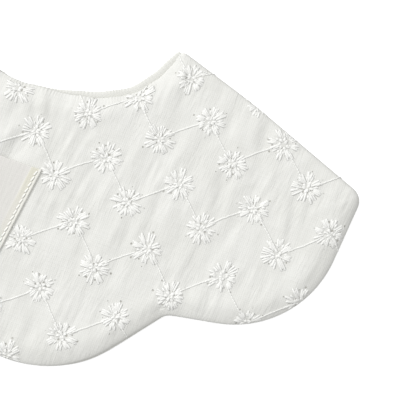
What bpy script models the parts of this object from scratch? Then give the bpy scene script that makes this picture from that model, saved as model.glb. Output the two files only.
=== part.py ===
# An embroidered petal bib: a ring of eight petals that closes at the centre back, laid flat on a
# table and folded along both shoulders, so that the front half lies on the back half.
# +X runs across the bib, -Y towards the front petals and +Z up from the table. Sizes are in
# millimetres, and MM turns them into metres. The origin is the middle of the bib's box, on the table.

import math
from collections import namedtuple

import bmesh
import bpy
from mathutils import Vector
from mathutils.geometry import delaunay_2d_cdt

MM = 0.001

# Walls and layers, from the table up
SEAM_GAP = 0.3
LAP_WALL = 1.0
BACK_THICKNESS = 2 * LAP_WALL + SEAM_GAP
LINING_THICKNESS = 1.0
FACE_THICKNESS = 1.1
LABEL_THICKNESS = 1.0
LINING_BOTTOM = BACK_THICKNESS + SEAM_GAP
LINING_TOP = LINING_BOTTOM + LINING_THICKNESS
FACE_BOTTOM = LINING_TOP + SEAM_GAP
FACE_TOP = FACE_BOTTOM + FACE_THICKNESS

# The right half of the outline, from the centre front notch round to the neck. Each corner is
# given by its angle from the centre front and its distance, both from the middle of the neck ring,
# and by the radius that rounds it. The large radii are the petals' round tips.
Corner = namedtuple("Corner", "name angle_deg distance rounding")
OUTLINE_CORNERS = (
    Corner("centre notch", 0.0, 147.5, 6.2),
    Corner("inner petal tip", 20.1, 181.3, 47.9),
    Corner("side notch", 40.3, 149.1, 6.2),
    Corner("outer petal tip", 56.8, 177.1, 43.5),
    Corner("outer shoulder corner", 76.4, 148.8, 6.5),
    Corner("shoulder bow", 75.7, 90.3, 300.0),
    Corner("neck corner", 72.5, 55.6, 4.4),
)

# The neck edge, from the neck corner to the centre. The back half's edge shows past the front's.
NeckRow = namedtuple("NeckRow", "angle_deg front_radius back_radius")
NECK_ROWS = (
    NeckRow(66.0, 57.4, 55.7),
    NeckRow(57.0, 58.7, 56.8),
    NeckRow(47.0, 59.7, 57.9),
    NeckRow(36.0, 58.8, 56.9),
    NeckRow(24.0, 57.5, 55.9),
    NeckRow(12.0, 56.8, 56.3),
    NeckRow(0.0, 57.2, 57.2),
)
NECK_STEP_DEG = 6.0
LONGEST_STEP = 7.0
ROUND_STEP_DEG = 16.0

# The shoulder fold begins and is whole where the edge faces this nearly across the shoulder line,
# as cosines. It reaches this far past the neck corner, and the layers inside it a little more.
FOLD_BEGINS = 0.45
FOLD_WHOLE = 0.92
FOLD_REACH = 6.0
INSIDE_FOLD_WIDENING = 1.5

# A rim's stations: how far each loop lies inside the outline and how high, at an open rim and
# where the cloth is folded round the shoulder.
Station = namedtuple("Station", "name inset height folded_inset folded_height")
FACE_STATIONS = (
    Station("roll starts", 3.2, FACE_TOP, 3.2, FACE_TOP),
    Station("roll", 1.4, FACE_TOP - 0.14, 1.4, FACE_TOP - 0.32),
    Station("roll turns", 0.35, FACE_TOP - 0.46, 0.4, FACE_TOP - 1.1),
    Station("rim", 0.0, FACE_BOTTOM + 0.28, 0.0, 2.5),
    Station("under the rim", 0.12, FACE_BOTTOM + 0.12, 0.5, 0.95),
    Station("on the table", 0.26, FACE_BOTTOM + 0.04, 1.5, 0.12),
    Station("fold ends", 0.42, FACE_BOTTOM, 3.0, 0.0),
    Station("fold ends inside", 0.7, FACE_BOTTOM, 3.0, 1.1),
    Station("inside turns", 1.1, FACE_BOTTOM, 1.8, 1.5),
    Station("inside rim", 1.7, FACE_BOTTOM, 1.25, 2.5),
    Station("inside", 3.2, FACE_BOTTOM, 2.5, FACE_BOTTOM),
)
LINING_STATIONS = (
    Station("top", 1.1, LINING_TOP, 3.2, LINING_TOP),
    Station("rim above", 0.5, LINING_TOP - 0.25, 2.8, LINING_TOP - 0.25),
    Station("rim below", 0.5, LINING_BOTTOM + 0.25, 2.8, LINING_BOTTOM + 0.25),
    Station("underside", 1.1, LINING_BOTTOM, 3.2, LINING_BOTTOM),
)
BACK_STATIONS = (
    Station("top", 1.8, BACK_THICKNESS, 4.4, BACK_THICKNESS),
    Station("upper roll", 0.35, BACK_THICKNESS - 0.4, 3.6, BACK_THICKNESS - 0.4),
    Station("groove between layers", 0.9, BACK_THICKNESS / 2, 3.9, BACK_THICKNESS / 2),
    Station("lower roll", 0.35, 0.4, 3.6, 0.4),
    Station("underside", 1.8, 0.0, 4.4, 0.0),
)

# The embroidered flowers repeat on a slanted lattice, two to a cell, and are raised from the cloth.
# A flower is eight lobes round a low middle: each ring of its points has a share of the flower's
# radius and of its rise, and lies on the lobes or on the notches between them.
FLOWER_RADIUS = 6.8
FLOWER_RISE = 0.6
FLOWER_LOBES = 8
FlowerRing = namedtuple("FlowerRing", "name reach rise on_lobes")
FLOWER_RINGS = (
    FlowerRing("lobe roots", 0.32, 0.5, True),
    FlowerRing("lobe backs", 0.68, 1.0, True),
    FlowerRing("lobe tips", 1.0, 0.25, True),
    FlowerRing("notches", 0.62, 0.0, False),
)
FLOWER_MIDDLE_RISE = 0.15
FLOWER_FROM_ROLL = 1.4
GRID_CLEARANCE = 3.6
FIRST_FLOWER = Vector((77.1, -64.8))
ALONG_ROW = Vector((30.8, 4.6))
ACROSS_ROWS = Vector((-0.7, 28.6))
SECOND_FLOWER = Vector((15.8, -11.7))
LATTICE_REACH = 8
FLOWER_TURN_DEG = 8.5
# The cloth lies a little askew, so its rows bend: what moves a place on the even lattice, in mm for
# each 1000 square mm of its squared and crossed distances from the first flower
BEND_ALONG_SQUARED = Vector((0.377, 0.215))
BEND_ALONG_ACROSS = Vector((-0.967, 0.63))
BEND_ACROSS_SQUARED = Vector((0.198, -0.528))
BEND_ENDS = (-80.0, 70.0)

# Soft swells and troughs of the top cloth: where, the way they run, their length, width and height
Swell = namedtuple("Swell", "x y direction_deg length width height")
SWELLS = (
    Swell(46, -78, 78, 50, 9, -0.30),
    Swell(62, -104, 84, 42, 8, 0.22),
    Swell(88, -52, 70, 46, 8, 0.24),
    Swell(103, -78, 76, 52, 9, -0.26),
    Swell(121, -62, 66, 40, 8, 0.26),
    Swell(30, -122, 88, 36, 8, 0.22),
    Swell(-40, -84, 100, 50, 9, -0.28),
    Swell(-66, -100, 94, 44, 8, 0.24),
    Swell(-92, -58, 108, 48, 8, 0.22),
    Swell(-108, -84, 104, 46, 9, -0.26),
    Swell(-34, -128, 90, 36, 8, 0.2),
)
GRID_STEP = 10.0
LABEL_GRID_STEP = 7.5

# The label patch: its sides run along the bib, and its top and bottom dip towards the middle
LABEL_HALF_WIDTH = 25.8
LABEL_SIDE_TOP = 85.4
LABEL_TOP_DIP = 3.0
LABEL_BOTTOM_DIP = 1.2
LABEL_DIP_POWER = 1.6
LABEL_HEIGHT = 42.5
LABEL_CORNER = 0.6
LABEL_SIDE_STEPS = 8
LABEL_STATIONS = (
    Station("hem", 3.1, LABEL_THICKNESS + 0.15, 0, 0),
    Station("edge above", 0.35, LABEL_THICKNESS, 0, 0),
    Station("edge", 0.0, LABEL_THICKNESS / 2, 0, 0),
    Station("edge below", 0.35, 0.0, 0, 0),
)

# The centre back: the left side's lower half laps the right side's upper half
LAP_HALF_WIDTH = 7.0
SNAP_RADIUS = 5.0
SNAP_FROM_NECK = 10.0
SNAP_EDGE_ROUNDING = 0.25
CUTTER_PAST = 5.0
CUTTER_WIDTH = 300.0

EMBROIDERED_COTTON = (0.84, 0.84, 0.81, 1.0)
PLAIN_COTTON = (0.80, 0.80, 0.74, 1.0)
SNAP_RESIN = (0.82, 0.82, 0.80, 1.0)
CLOTH_ROUGHNESS = 0.92
SNAP_ROUGHNESS = 0.35


def clear_scene():
    for obj in list(bpy.data.objects):
        bpy.data.objects.remove(obj, do_unlink=True)


def material(name, colour, roughness):
    made = bpy.data.materials.new(name)
    made.use_nodes = True
    shader = made.node_tree.nodes["Principled BSDF"]
    shader.inputs["Base Color"].default_value = colour
    shader.inputs["Roughness"].default_value = roughness
    shader.inputs["Metallic"].default_value = 0.0
    return made


def polar(angle_deg, distance):
    """A place given by its angle from the centre front and its distance from the neck ring's middle."""
    angle = math.radians(angle_deg)
    return Vector((distance * math.sin(angle), -distance * math.cos(angle)))


def mirrored(place):
    return Vector((-place.x, place.y))


def smooth_step(value):
    value = min(1.0, max(0.0, value))
    return value * value * (3 - 2 * value)


def rounded(before, corner, after, radius):
    """The arc that rounds a corner, as points."""
    to_before = (before - corner).normalized()
    to_after = (after - corner).normalized()
    half = to_before.angle(to_after) / 2
    middle = (to_before + to_after).normalized()
    centre = corner + middle * (radius / math.sin(half))
    start = corner + to_before * (radius / math.tan(half)) - centre
    end = corner + to_after * (radius / math.tan(half)) - centre
    turn = math.atan2(start.cross(end), start.dot(end))
    steps = max(2, math.ceil(abs(math.degrees(turn)) / ROUND_STEP_DEG))
    steps = max(steps, math.ceil(abs(turn) * radius / LONGEST_STEP))
    arc = []
    for step in range(steps + 1):
        angle = turn * step / steps
        cosine, sine = math.cos(angle), math.sin(angle)
        turned = Vector((start.x * cosine - start.y * sine, start.x * sine + start.y * cosine))
        arc.append(centre + turned)
    return arc


def joined(stretches):
    """One line of points from several, with the long straight runs divided."""
    line = []
    for point in (point for stretch in stretches for point in stretch):
        if line:
            run = point - line[-1]
            if run.length < 0.05:
                continue
            pieces = math.ceil(run.length / LONGEST_STEP)
            start = line[-1]
            line += [start + run * (piece / pieces) for piece in range(1, pieces)]
        line.append(point)
    return line


def neck_radius(angle_deg, column):
    """The neck edge's distance from the ring's middle, eased from row to row of the table."""
    rows = [(row.angle_deg, getattr(row, column)) for row in reversed(NECK_ROWS)]
    for (low, low_radius), (high, high_radius) in zip(rows, rows[1:]):
        if angle_deg <= high:
            share = smooth_step((angle_deg - low) / (high - low))
            return low_radius + (high_radius - low_radius) * share
    return rows[-1][1]


def half_outline(neck_column):
    """The right half of the outline, anticlockwise from the centre notch to the centre of the neck."""
    corners = [polar(corner.angle_deg, corner.distance) for corner in OUTLINE_CORNERS]
    first_neck_deg = NECK_ROWS[0].angle_deg
    neck = []
    for step in range(int(first_neck_deg / NECK_STEP_DEG) + 1):
        angle = first_neck_deg - step * NECK_STEP_DEG
        neck.append(polar(angle, neck_radius(angle, neck_column)))
    around = [mirrored(corners[1])] + corners + [neck[0]]
    stretches = []
    for index, corner in enumerate(OUTLINE_CORNERS):
        arc = rounded(around[index], around[index + 1], around[index + 2], corner.rounding)
        stretches.append(arc)
    notch = stretches[0]
    stretches[0] = [Vector((0, notch[len(notch) // 2].y))] + [point for point in notch if point.x > 0.2]
    return joined(stretches + [neck])


def whole_outline(neck_column):
    right = half_outline(neck_column)
    left = [mirrored(point) for point in reversed(right[1:-1])]
    return right + left


def inward_normals(line):
    normals = []
    for index, point in enumerate(line):
        run = (line[(index + 1) % len(line)] - point).normalized()
        run += (point - line[index - 1]).normalized()
        normals.append(Vector((-run.y, run.x)).normalized())
    return normals


def fold_shares(line):
    """How far each point of the outline belongs to a shoulder fold, from 0 to 1, by the way it faces."""
    corners = {corner.name: polar(corner.angle_deg, corner.distance) for corner in OUTLINE_CORNERS}
    outer, neck = corners["outer shoulder corner"], corners["neck corner"]
    run = (neck - outer).normalized()
    facing = Vector((run.y, -run.x))
    shares = []
    for point, normal in zip(line, inward_normals(line)):
        beside = abs(point.x) > neck.x - FOLD_REACH
        outward = Vector((-normal.x if point.x > 0 else normal.x, -normal.y))
        share = smooth_step((outward.dot(facing) - FOLD_BEGINS) / (FOLD_WHOLE - FOLD_BEGINS))
        shares.append(share if beside else 0.0)
    return shares


def loop_at(line, normals, shares, station, height_of=None):
    """The points of one station's loop round the rim."""
    loop = []
    for point, normal, share in zip(line, normals, shares):
        inset = station.inset + (station.folded_inset - station.inset) * share
        height = station.height + (station.folded_height - station.height) * share
        place = point + normal * inset
        if height_of:
            height += height_of(place)
        loop.append(Vector((place.x, place.y, height)))
    return loop


def bent(offset):
    """A flower's place, from its offset from the first flower on the even lattice."""
    along = min(BEND_ENDS[1], max(BEND_ENDS[0], offset.x))
    across = offset.y
    shift = BEND_ALONG_SQUARED * along**2 + BEND_ALONG_ACROSS * (along * across)
    shift += BEND_ACROSS_SQUARED * across**2
    return FIRST_FLOWER + offset + shift / 1000


def flower_centres():
    centres = []
    for row in range(-LATTICE_REACH, LATTICE_REACH):
        for place in range(-LATTICE_REACH, LATTICE_REACH):
            offset = ALONG_ROW * place + ACROSS_ROWS * row
            centres += [bent(offset), bent(offset + SECOND_FLOWER)]
    return centres


def inside(line, place):
    """Whether a place lies inside a closed line."""
    crossings = 0
    for start, end in zip(line, line[1:] + line[:1]):
        if (start.y > place.y) != (end.y > place.y):
            crossing = start.x + (place.y - start.y) / (end.y - start.y) * (end.x - start.x)
            crossings += crossing > place.x
    return crossings % 2 == 1


def swell_height(place):
    """How far the top cloth swells or sinks at a place."""
    height = 0.0
    for swell in SWELLS:
        angle = math.radians(swell.direction_deg)
        offset = place - Vector((swell.x, swell.y))
        along = offset.x * math.cos(angle) + offset.y * math.sin(angle)
        across = offset.y * math.cos(angle) - offset.x * math.sin(angle)
        fade = math.exp(-((2 * along / swell.length) ** 2) - (across / swell.width) ** 2)
        height += swell.height * fade
    return height


def label_outline(inset=0.0):
    """The label's outline, anticlockwise from its lower left corner, or a loop inside it."""
    half = LABEL_HALF_WIDTH - inset
    low = -(LABEL_SIDE_TOP + LABEL_HEIGHT) + inset
    high = -LABEL_SIDE_TOP - inset
    corners = [Vector((-half, low)), Vector((half, low)), Vector((half, high)), Vector((-half, high))]
    line = []
    for index, corner in enumerate(corners):
        before, after = corners[index - 1], corners[(index + 1) % 4]
        arc = rounded(before, corner, after, LABEL_CORNER)
        next_start = after + (corner - after).normalized() * LABEL_CORNER
        run = next_start - arc[-1]
        line += arc
        line += [arc[-1] + run * (step / LABEL_SIDE_STEPS) for step in range(1, LABEL_SIDE_STEPS)]
    for point in line:
        upward = (point.y - low) / (high - low)
        dip = LABEL_BOTTOM_DIP + (LABEL_TOP_DIP - LABEL_BOTTOM_DIP) * upward
        point.y -= dip * (1 - min(1.0, abs(point.x) / half) ** LABEL_DIP_POWER)
    return line


def flower_points(centre):
    """A flower's low middle and its rings of raised points, as (place, rise)."""
    points = [(centre, FLOWER_MIDDLE_RISE * FLOWER_RISE)]
    for ring in FLOWER_RINGS:
        for lobe in range(FLOWER_LOBES):
            angle = math.tau * (lobe if ring.on_lobes else lobe + 0.5) / FLOWER_LOBES
            angle += math.radians(FLOWER_TURN_DEG)
            offset = Vector((math.cos(angle), math.sin(angle))) * (FLOWER_RADIUS * ring.reach)
            points.append((centre + offset, FLOWER_RISE * ring.rise))
    return points


def grid_points(line, taken, step, clearance):
    """Places on a plain grid inside a line, clear of the points already taken."""
    xs = [point.x for point in line]
    ys = [point.y for point in line]
    found = []
    for column in range(math.ceil((max(xs) - min(xs)) / step)):
        for row in range(math.ceil((max(ys) - min(ys)) / step)):
            place = Vector((min(xs) + (column + 0.5) * step, min(ys) + (row + 0.5) * step))
            near = any((place - other).length < clearance for other in taken)
            if inside(line, place) and not near:
                found.append(place)
    return found


def walled_solid(name, loops, top_points, bottom_points, collection):
    """A closed wall: loops round its rim from top to underside, and both sides filled across.

    The top and bottom points are (x, y, z) places inside the first and the last loop.
    """
    mesh = bmesh.new()
    rings = [[mesh.verts.new(point) for point in loop] for loop in loops]
    for upper, lower in zip(rings, rings[1:]):
        for index in range(len(upper)):
            after = (index + 1) % len(upper)
            mesh.faces.new((upper[index], lower[index], lower[after], upper[after]))
    fill_across(mesh, rings[0], top_points, facing_up=True)
    fill_across(mesh, rings[-1], bottom_points, facing_up=False)
    bmesh.ops.triangulate(mesh, faces=mesh.faces[:])
    bmesh.ops.scale(mesh, vec=(MM, MM, MM), verts=mesh.verts)
    data = bpy.data.meshes.new(name)
    mesh.to_mesh(data)
    mesh.free()
    data.shade_smooth()
    data.set_sharp_from_angle(angle=math.radians(50))
    obj = bpy.data.objects.new(name, data)
    collection.objects.link(obj)
    return obj


def fill_across(mesh, ring, points, facing_up):
    """Triangles from a rim loop across its inner points."""
    verts = ring + [mesh.verts.new(point) for point in points]
    flat = [vert.co.to_2d() for vert in verts]
    rim = [(index, (index + 1) % len(ring)) for index in range(len(ring))]
    _, _, faces, origins, _, _ = delaunay_2d_cdt(flat, rim, [], 1, 1e-5)
    for face in faces:
        corners = [verts[origins[index][0]] for index in face]
        first, second, third = (corner.co.to_2d() for corner in corners)
        if ((second - first).cross(third - first) > 0) != facing_up:
            corners.reverse()
        mesh.faces.new(corners)


def build_front_face(collection, label):
    """The embroidered cloth of the front half, with its rim rolled and its shoulders folded round."""
    line = whole_outline("front_radius")
    normals, shares = inward_normals(line), fold_shares(line)
    loops = [loop_at(line, normals, shares, FACE_STATIONS[0], swell_height)]
    loops += [loop_at(line, normals, shares, station) for station in FACE_STATIONS[1:]]
    limit = [point.to_2d() for point in loops[0]]
    raised = []
    for centre in flower_centres():
        for place, rise in flower_points(centre):
            if inside(limit, place) and min((place - edge).length for edge in limit) > FLOWER_FROM_ROLL:
                raised.append((place, 0.0 if inside(label, place) else rise))
    nearby = [place for place, _ in raised] + limit
    raised += [(place, 0.0) for place in grid_points(limit, nearby, GRID_STEP, GRID_CLEARANCE)]
    top = [Vector((place.x, place.y, FACE_TOP + swell_height(place) + rise)) for place, rise in raised]
    return walled_solid("front_face", loops, top, [], collection)


def build_plain_layer(name, neck_column, stations, collection):
    """A layer that stays inside the fold, a little past each end of it."""
    line = whole_outline(neck_column)
    normals, shares = inward_normals(line), fold_shares(line)
    wide = []
    for index, share in enumerate(shares):
        wide.append(max(shares[index - 1], share, shares[(index + 1) % len(line)]))
    shares = [min(1.0, share * INSIDE_FOLD_WIDENING) for share in wide]
    loops = [loop_at(line, normals, shares, station) for station in stations]
    return walled_solid(name, loops, [], [], collection)


def build_label(collection):
    """The label patch, which follows the cloth under it at the width of a seam gap."""

    def lying(place):
        return FACE_TOP + SEAM_GAP + swell_height(place)

    loops = []
    for station in LABEL_STATIONS:
        line = label_outline(station.inset)
        loops.append([Vector((point.x, point.y, lying(point) + station.height)) for point in line])
    inner = [point.to_2d() for point in loops[0]]
    across = grid_points(inner, inner, LABEL_GRID_STEP, LABEL_GRID_STEP / 4)
    top = [Vector((place.x, place.y, lying(place) + LABEL_THICKNESS)) for place in across]
    bottom = [Vector((place.x, place.y, lying(place))) for place in across]
    return walled_solid("label_patch", loops, top, bottom, collection)


def extruded_cutter(name, profile, collection):
    """A cutter with its profile in X and Z, run the whole depth of the bib."""
    mesh = bmesh.new()
    face = mesh.faces.new([mesh.verts.new((x * MM, -CUTTER_WIDTH * MM, z * MM)) for x, z in profile])
    grown = bmesh.ops.extrude_face_region(mesh, geom=[face])
    moved = [part for part in grown["geom"] if isinstance(part, bmesh.types.BMVert)]
    bmesh.ops.translate(mesh, vec=(0, 2 * CUTTER_WIDTH * MM, 0), verts=moved)
    bmesh.ops.recalc_face_normals(mesh, faces=mesh.faces)
    data = bpy.data.meshes.new(name)
    mesh.to_mesh(data)
    mesh.free()
    return linked_cutter(name, data, collection)


def round_cutter(name, place, radius, low, high, collection):
    mesh = bmesh.new()
    bmesh.ops.create_cone(
        mesh, cap_ends=True, segments=32, radius1=radius * MM, radius2=radius * MM, depth=(high - low) * MM
    )
    bmesh.ops.translate(mesh, vec=(place.x * MM, place.y * MM, (low + high) / 2 * MM), verts=mesh.verts)
    data = bpy.data.meshes.new(name)
    mesh.to_mesh(data)
    mesh.free()
    return linked_cutter(name, data, collection)


def linked_cutter(name, data, collection):
    cutter = bpy.data.objects.new(name, data)
    cutter.hide_render = True
    cutter.display_type = "WIRE"
    collection.objects.link(cutter)
    return cutter


def cut(obj, cutter):
    boolean = obj.modifiers.new(cutter.name, "BOOLEAN")
    boolean.operation = "DIFFERENCE"
    boolean.object = cutter


def build_back(collection, cutters):
    """The folded-under back half, as two sides that lap and snap together at the centre back."""
    low, middle, high = -CUTTER_PAST, BACK_THICKNESS / 2, BACK_THICKNESS + CUTTER_PAST
    far, lap, half_gap = CUTTER_WIDTH, LAP_HALF_WIDTH, SEAM_GAP / 2
    right_profile = (
        (-far, low),
        (lap + SEAM_GAP, low),
        (lap + SEAM_GAP, middle + half_gap),
        (-lap, middle + half_gap),
        (-lap, high),
        (-far, high),
    )
    left_profile = (
        (lap, low),
        (far, low),
        (far, high),
        (-lap - SEAM_GAP, high),
        (-lap - SEAM_GAP, middle - half_gap),
        (lap, middle - half_gap),
    )
    snap_place = polar(0, neck_radius(0, "back_radius") + SNAP_FROM_NECK)
    sides = {}
    for name, profile in (("back_right", right_profile), ("back_left", left_profile)):
        side = build_plain_layer(name, "back_radius", BACK_STATIONS, collection)
        cut(side, extruded_cutter(name + "_lap_cutter", profile, cutters))
        sides[name] = side
    hole = round_cutter("snap_hole_cutter", snap_place, SNAP_RADIUS + SEAM_GAP, low, middle, cutters)
    cut(sides["back_left"], hole)
    return sides, build_snap_cap(snap_place, collection)


def build_snap_cap(place, collection):
    """The snap's cap, a low button with a rounded edge, flush with the underside."""
    bpy.ops.mesh.primitive_cylinder_add(
        vertices=32,
        radius=SNAP_RADIUS * MM,
        depth=LAP_WALL * MM,
        location=(place.x * MM, place.y * MM, LAP_WALL / 2 * MM),
    )
    cap = bpy.context.active_object
    cap.name = "back_snap_cap"
    for owner in list(cap.users_collection):
        owner.objects.unlink(cap)
    collection.objects.link(cap)
    bevel = cap.modifiers.new("rounded edge", "BEVEL")
    bevel.width = SNAP_EDGE_ROUNDING * MM
    bevel.segments = 2
    return cap


def centred(objects, line):
    """Moves everything so that the origin is the middle of the bib's box, on the table."""
    ys = [point.y for point in line]
    shift = Vector((0, -(max(ys) + min(ys)) / 2 * MM, 0))
    for obj in objects:
        obj.location += shift


def main():
    clear_scene()
    bib = bpy.data.collections.new("embroidered_bib")
    cutters = bpy.data.collections.new("cutters")
    for collection in (bib, cutters):
        bpy.context.scene.collection.children.link(collection)
    embroidered = material("embroidered_cotton", EMBROIDERED_COTTON, CLOTH_ROUGHNESS)
    plain = material("plain_cotton", PLAIN_COTTON, CLOTH_ROUGHNESS)
    resin = material("snap_resin", SNAP_RESIN, SNAP_ROUGHNESS)
    face = build_front_face(bib, label_outline())
    lining = build_plain_layer("front_lining", "front_radius", LINING_STATIONS, bib)
    label = build_label(bib)
    sides, cap = build_back(bib, cutters)
    finishes = ((face, embroidered), (lining, plain), (label, plain), (cap, resin))
    for obj, finish in finishes + tuple((side, embroidered) for side in sides.values()):
        obj.data.materials.append(finish)
    centred(list(bib.objects) + list(cutters.objects), whole_outline("front_radius"))


main()
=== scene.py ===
import math
import bmesh
import bpy
import numpy as np
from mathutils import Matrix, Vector
from mathutils.kdtree import KDTree


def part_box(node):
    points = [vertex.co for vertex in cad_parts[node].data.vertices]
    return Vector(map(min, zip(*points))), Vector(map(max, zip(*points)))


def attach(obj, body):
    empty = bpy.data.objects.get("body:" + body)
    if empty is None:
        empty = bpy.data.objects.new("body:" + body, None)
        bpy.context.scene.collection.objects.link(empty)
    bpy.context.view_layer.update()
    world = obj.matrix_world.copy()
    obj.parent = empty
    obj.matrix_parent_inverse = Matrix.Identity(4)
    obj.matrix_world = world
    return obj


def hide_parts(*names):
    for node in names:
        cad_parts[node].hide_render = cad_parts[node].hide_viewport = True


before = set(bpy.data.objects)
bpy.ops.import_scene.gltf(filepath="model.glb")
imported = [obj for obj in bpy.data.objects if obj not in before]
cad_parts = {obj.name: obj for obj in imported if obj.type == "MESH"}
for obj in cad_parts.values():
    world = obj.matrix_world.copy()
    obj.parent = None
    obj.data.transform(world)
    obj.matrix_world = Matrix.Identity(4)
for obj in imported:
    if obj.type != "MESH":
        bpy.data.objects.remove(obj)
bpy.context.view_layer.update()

# An embroidered petal bib, laid flat on a pale table and folded along both shoulders. Sizes are in
# mm and become metres at the end. Places on the cloth are measured from the middle of the neck ring,
# with +x across the bib and -y towards the front petals.
mm = 0.001
print("packed bib loaded")


def smoothStep(values):
    values = np.clip(values, 0.0, 1.0)
    return values * values * (3 - 2 * values)


def polar(angle, distance):  # degrees from the centre front, mm from the neck ring's middle
    return np.array([distance * math.sin(math.radians(angle)), -distance * math.cos(math.radians(angle))])


def unit(vectors):
    return vectors / np.linalg.norm(vectors, axis=-1, keepdims=True)


def fromFront(places):  # radians round the neck ring from the centre front
    return np.arctan2(places[:, 0], -places[:, 1])


def treeOf(points):
    tree = KDTree(len(points))
    for index, (x, y) in enumerate(points):
        tree.insert((x, y, 0), index)
    tree.balance()
    return tree


def nearestIn(tree, places):
    return np.array([tree.find((x, y, 0))[1] for x, y in places])


# The outline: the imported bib's, in finer steps, with the sag of its neck edge
bibCut = {
    "corners": (  # degrees from the centre front, mm from the ring's middle, mm of rounding
        (0.0, 147.5, 6.2),  # centre notch
        (20.1, 181.3, 47.9),  # inner petal tip
        (40.3, 149.1, 6.2),  # side notch
        (56.8, 177.1, 43.5),  # outer petal tip
        (76.4, 148.8, 6.5),  # outer shoulder corner
        (75.7, 90.3, 300.0),  # shoulder bow
        (72.5, 55.6, 2.4),  # neck corner
    ),
    "neckAngles": (66.0, 57.0, 47.0, 36.0, 24.0, 12.0, 0.0),
    "frontNeck": (57.4, 58.7, 59.7, 58.8, 57.5, 56.8, 57.2),
    "backNeck": (55.7, 56.8, 57.9, 56.9, 55.9, 56.3, 57.2),
    "neckSag": ((-70, 0.0), (-45, 0.9), (-20, 1.7), (-7, 1.5), (0, 0.7), (9, 0.0)),  # degrees, mm
    "arcStep": 0.4,  # mm between the points of an arc
    "neckStep": 0.5,  # degrees between the points of the neck edge
    "searchCounts": (1800, 450, 700),  # points along the petals, a shoulder and the neck
    "neckBand": (61.0, 4.0),  # mm from the ring's middle, and over which the neck's own reach fades
    "petalsFrom": 140.0,  # mm from the ring's middle
    "snapFromNeck": 10.0,  # mm
    "lapHalfWidth": 7.0,
    "lapStepFrom": 0.2,  # mm past the lap where the covered side begins to step over it
    "lapStepWidth": 0.8,
}
snapLow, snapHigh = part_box("back_snap_cap")
snapMiddle = bibCut["backNeck"][-1] + bibCut["snapFromNeck"]
ringMiddle = (snapLow.y + snapHigh.y) / 2 / mm + snapMiddle  # where the neck ring's middle lies in Y


def roundedCorner(before, corner, after, radius):
    toBefore = unit(before - corner)
    toAfter = unit(after - corner)
    half = math.acos(float(toBefore @ toAfter)) / 2
    centre = corner + unit(toBefore + toAfter) * radius / math.sin(half)
    start = corner + toBefore * radius / math.tan(half) - centre
    end = corner + toAfter * radius / math.tan(half) - centre
    turn = math.atan2(start[0] * end[1] - start[1] * end[0], float(start @ end))
    count = 2 * max(2, math.ceil(abs(turn) * radius / bibCut["arcStep"] / 2))
    angles = np.linspace(0, turn, count + 1)
    cosines, sines = np.cos(angles), np.sin(angles)
    turned = np.column_stack([start[0] * cosines - start[1] * sines, start[0] * sines + start[1] * cosines])
    return centre + turned


def neckRadius(angles, neck):  # eased from one named angle to the next
    rows = np.array(bibCut["neckAngles"][::-1])
    radii = np.array(bibCut[neck][::-1])
    place = np.clip(np.searchsorted(rows, angles, side="right") - 1, 0, len(rows) - 2)
    share = smoothStep((angles - rows[place]) / (rows[place + 1] - rows[place]))
    return radii[place] + (radii[place + 1] - radii[place]) * share


def evenly(line, count):  # the same line with its points evenly spaced
    steps = np.linalg.norm(np.diff(line, axis=0), axis=1)
    run = np.concatenate([[0.0], np.cumsum(steps)])
    at = np.linspace(0, run[-1], count + 1)
    return np.column_stack([np.interp(at, run, line[:, 0]), np.interp(at, run, line[:, 1])])


def halfCut(neck):  # the right half's petals, shoulder and neck edge, each as a line
    corners = [polar(angle, distance) for angle, distance, _ in bibCut["corners"]]
    angles = np.arange(bibCut["neckAngles"][0], -0.01, -bibCut["neckStep"])
    neckLine = np.array([polar(angle, radius) for angle, radius in zip(angles, neckRadius(angles, neck))])
    around = [corners[1] * (-1, 1)] + corners + [neckLine[0]]
    arcs = []
    for index, (_, _, rounding) in enumerate(bibCut["corners"]):
        arcs.append(roundedCorner(around[index], around[index + 1], around[index + 2], rounding))
    middles = [len(arc) // 2 for arc in arcs]
    petals = np.vstack([arcs[0][middles[0]:], arcs[1], arcs[2], arcs[3], arcs[4][:middles[4] + 1]])
    shoulder = np.vstack([arcs[4][middles[4]:], arcs[5], arcs[6][:middles[6] + 1]])
    return petals, shoulder, np.vstack([arcs[6][middles[6]:], neckLine])


def inwardNormals(ring):  # of a closed line that runs anticlockwise
    along = unit(np.roll(ring, -1, axis=0) - np.roll(ring, 1, axis=0))
    return np.column_stack([-along[:, 1], along[:, 0]])


# Where the rim passes into a shoulder's fold: cosines of its turn at which the fold begins and is whole
foldValues = {
    "front": (0.45, 0.92),
    "inside": (0.36, 0.80),
    "pastNeck": 6.0,
    "cornerEase": 0.42,  # share that the rim loses at the neck corner
    "cornerReach": 6.0,  # mm
    "squareBelow": 0.7,  # cosine of the turn
    "squareEase": 0.3,
    "squareReach": 2.1,
}
outerCorner, neckCorner = (polar(*bibCut["corners"][row][:2]) for row in (4, 6))


def foldShares(ring, normals, limits):  # how far each place belongs to a shoulder fold
    run = unit(neckCorner - outerCorner)
    outward = -normals * np.column_stack([np.where(ring[:, 0] > 0, 1, -1), np.ones(len(ring))])
    facing = outward @ np.array([run[1], -run[0]])
    share = smoothStep((facing - limits[0]) / (limits[1] - limits[0]))
    return np.where(np.abs(ring[:, 0]) > neckCorner[0] - foldValues["pastNeck"], share, 0.0)


def cornerEase(ring):  # rims are narrower round the tight neck corner, so that they don't cross there
    away = np.linalg.norm(np.column_stack([np.abs(ring[:, 0]), ring[:, 1]]) - neckCorner, axis=1)
    return 1 - foldValues["cornerEase"] * np.exp(-((away / foldValues["cornerReach"]) ** 2))


def neckSag(places):  # how much lower the neck edge lies on its left, by angle
    return np.interp(np.degrees(fromFront(places)), *zip(*bibCut["neckSag"]))


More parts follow.
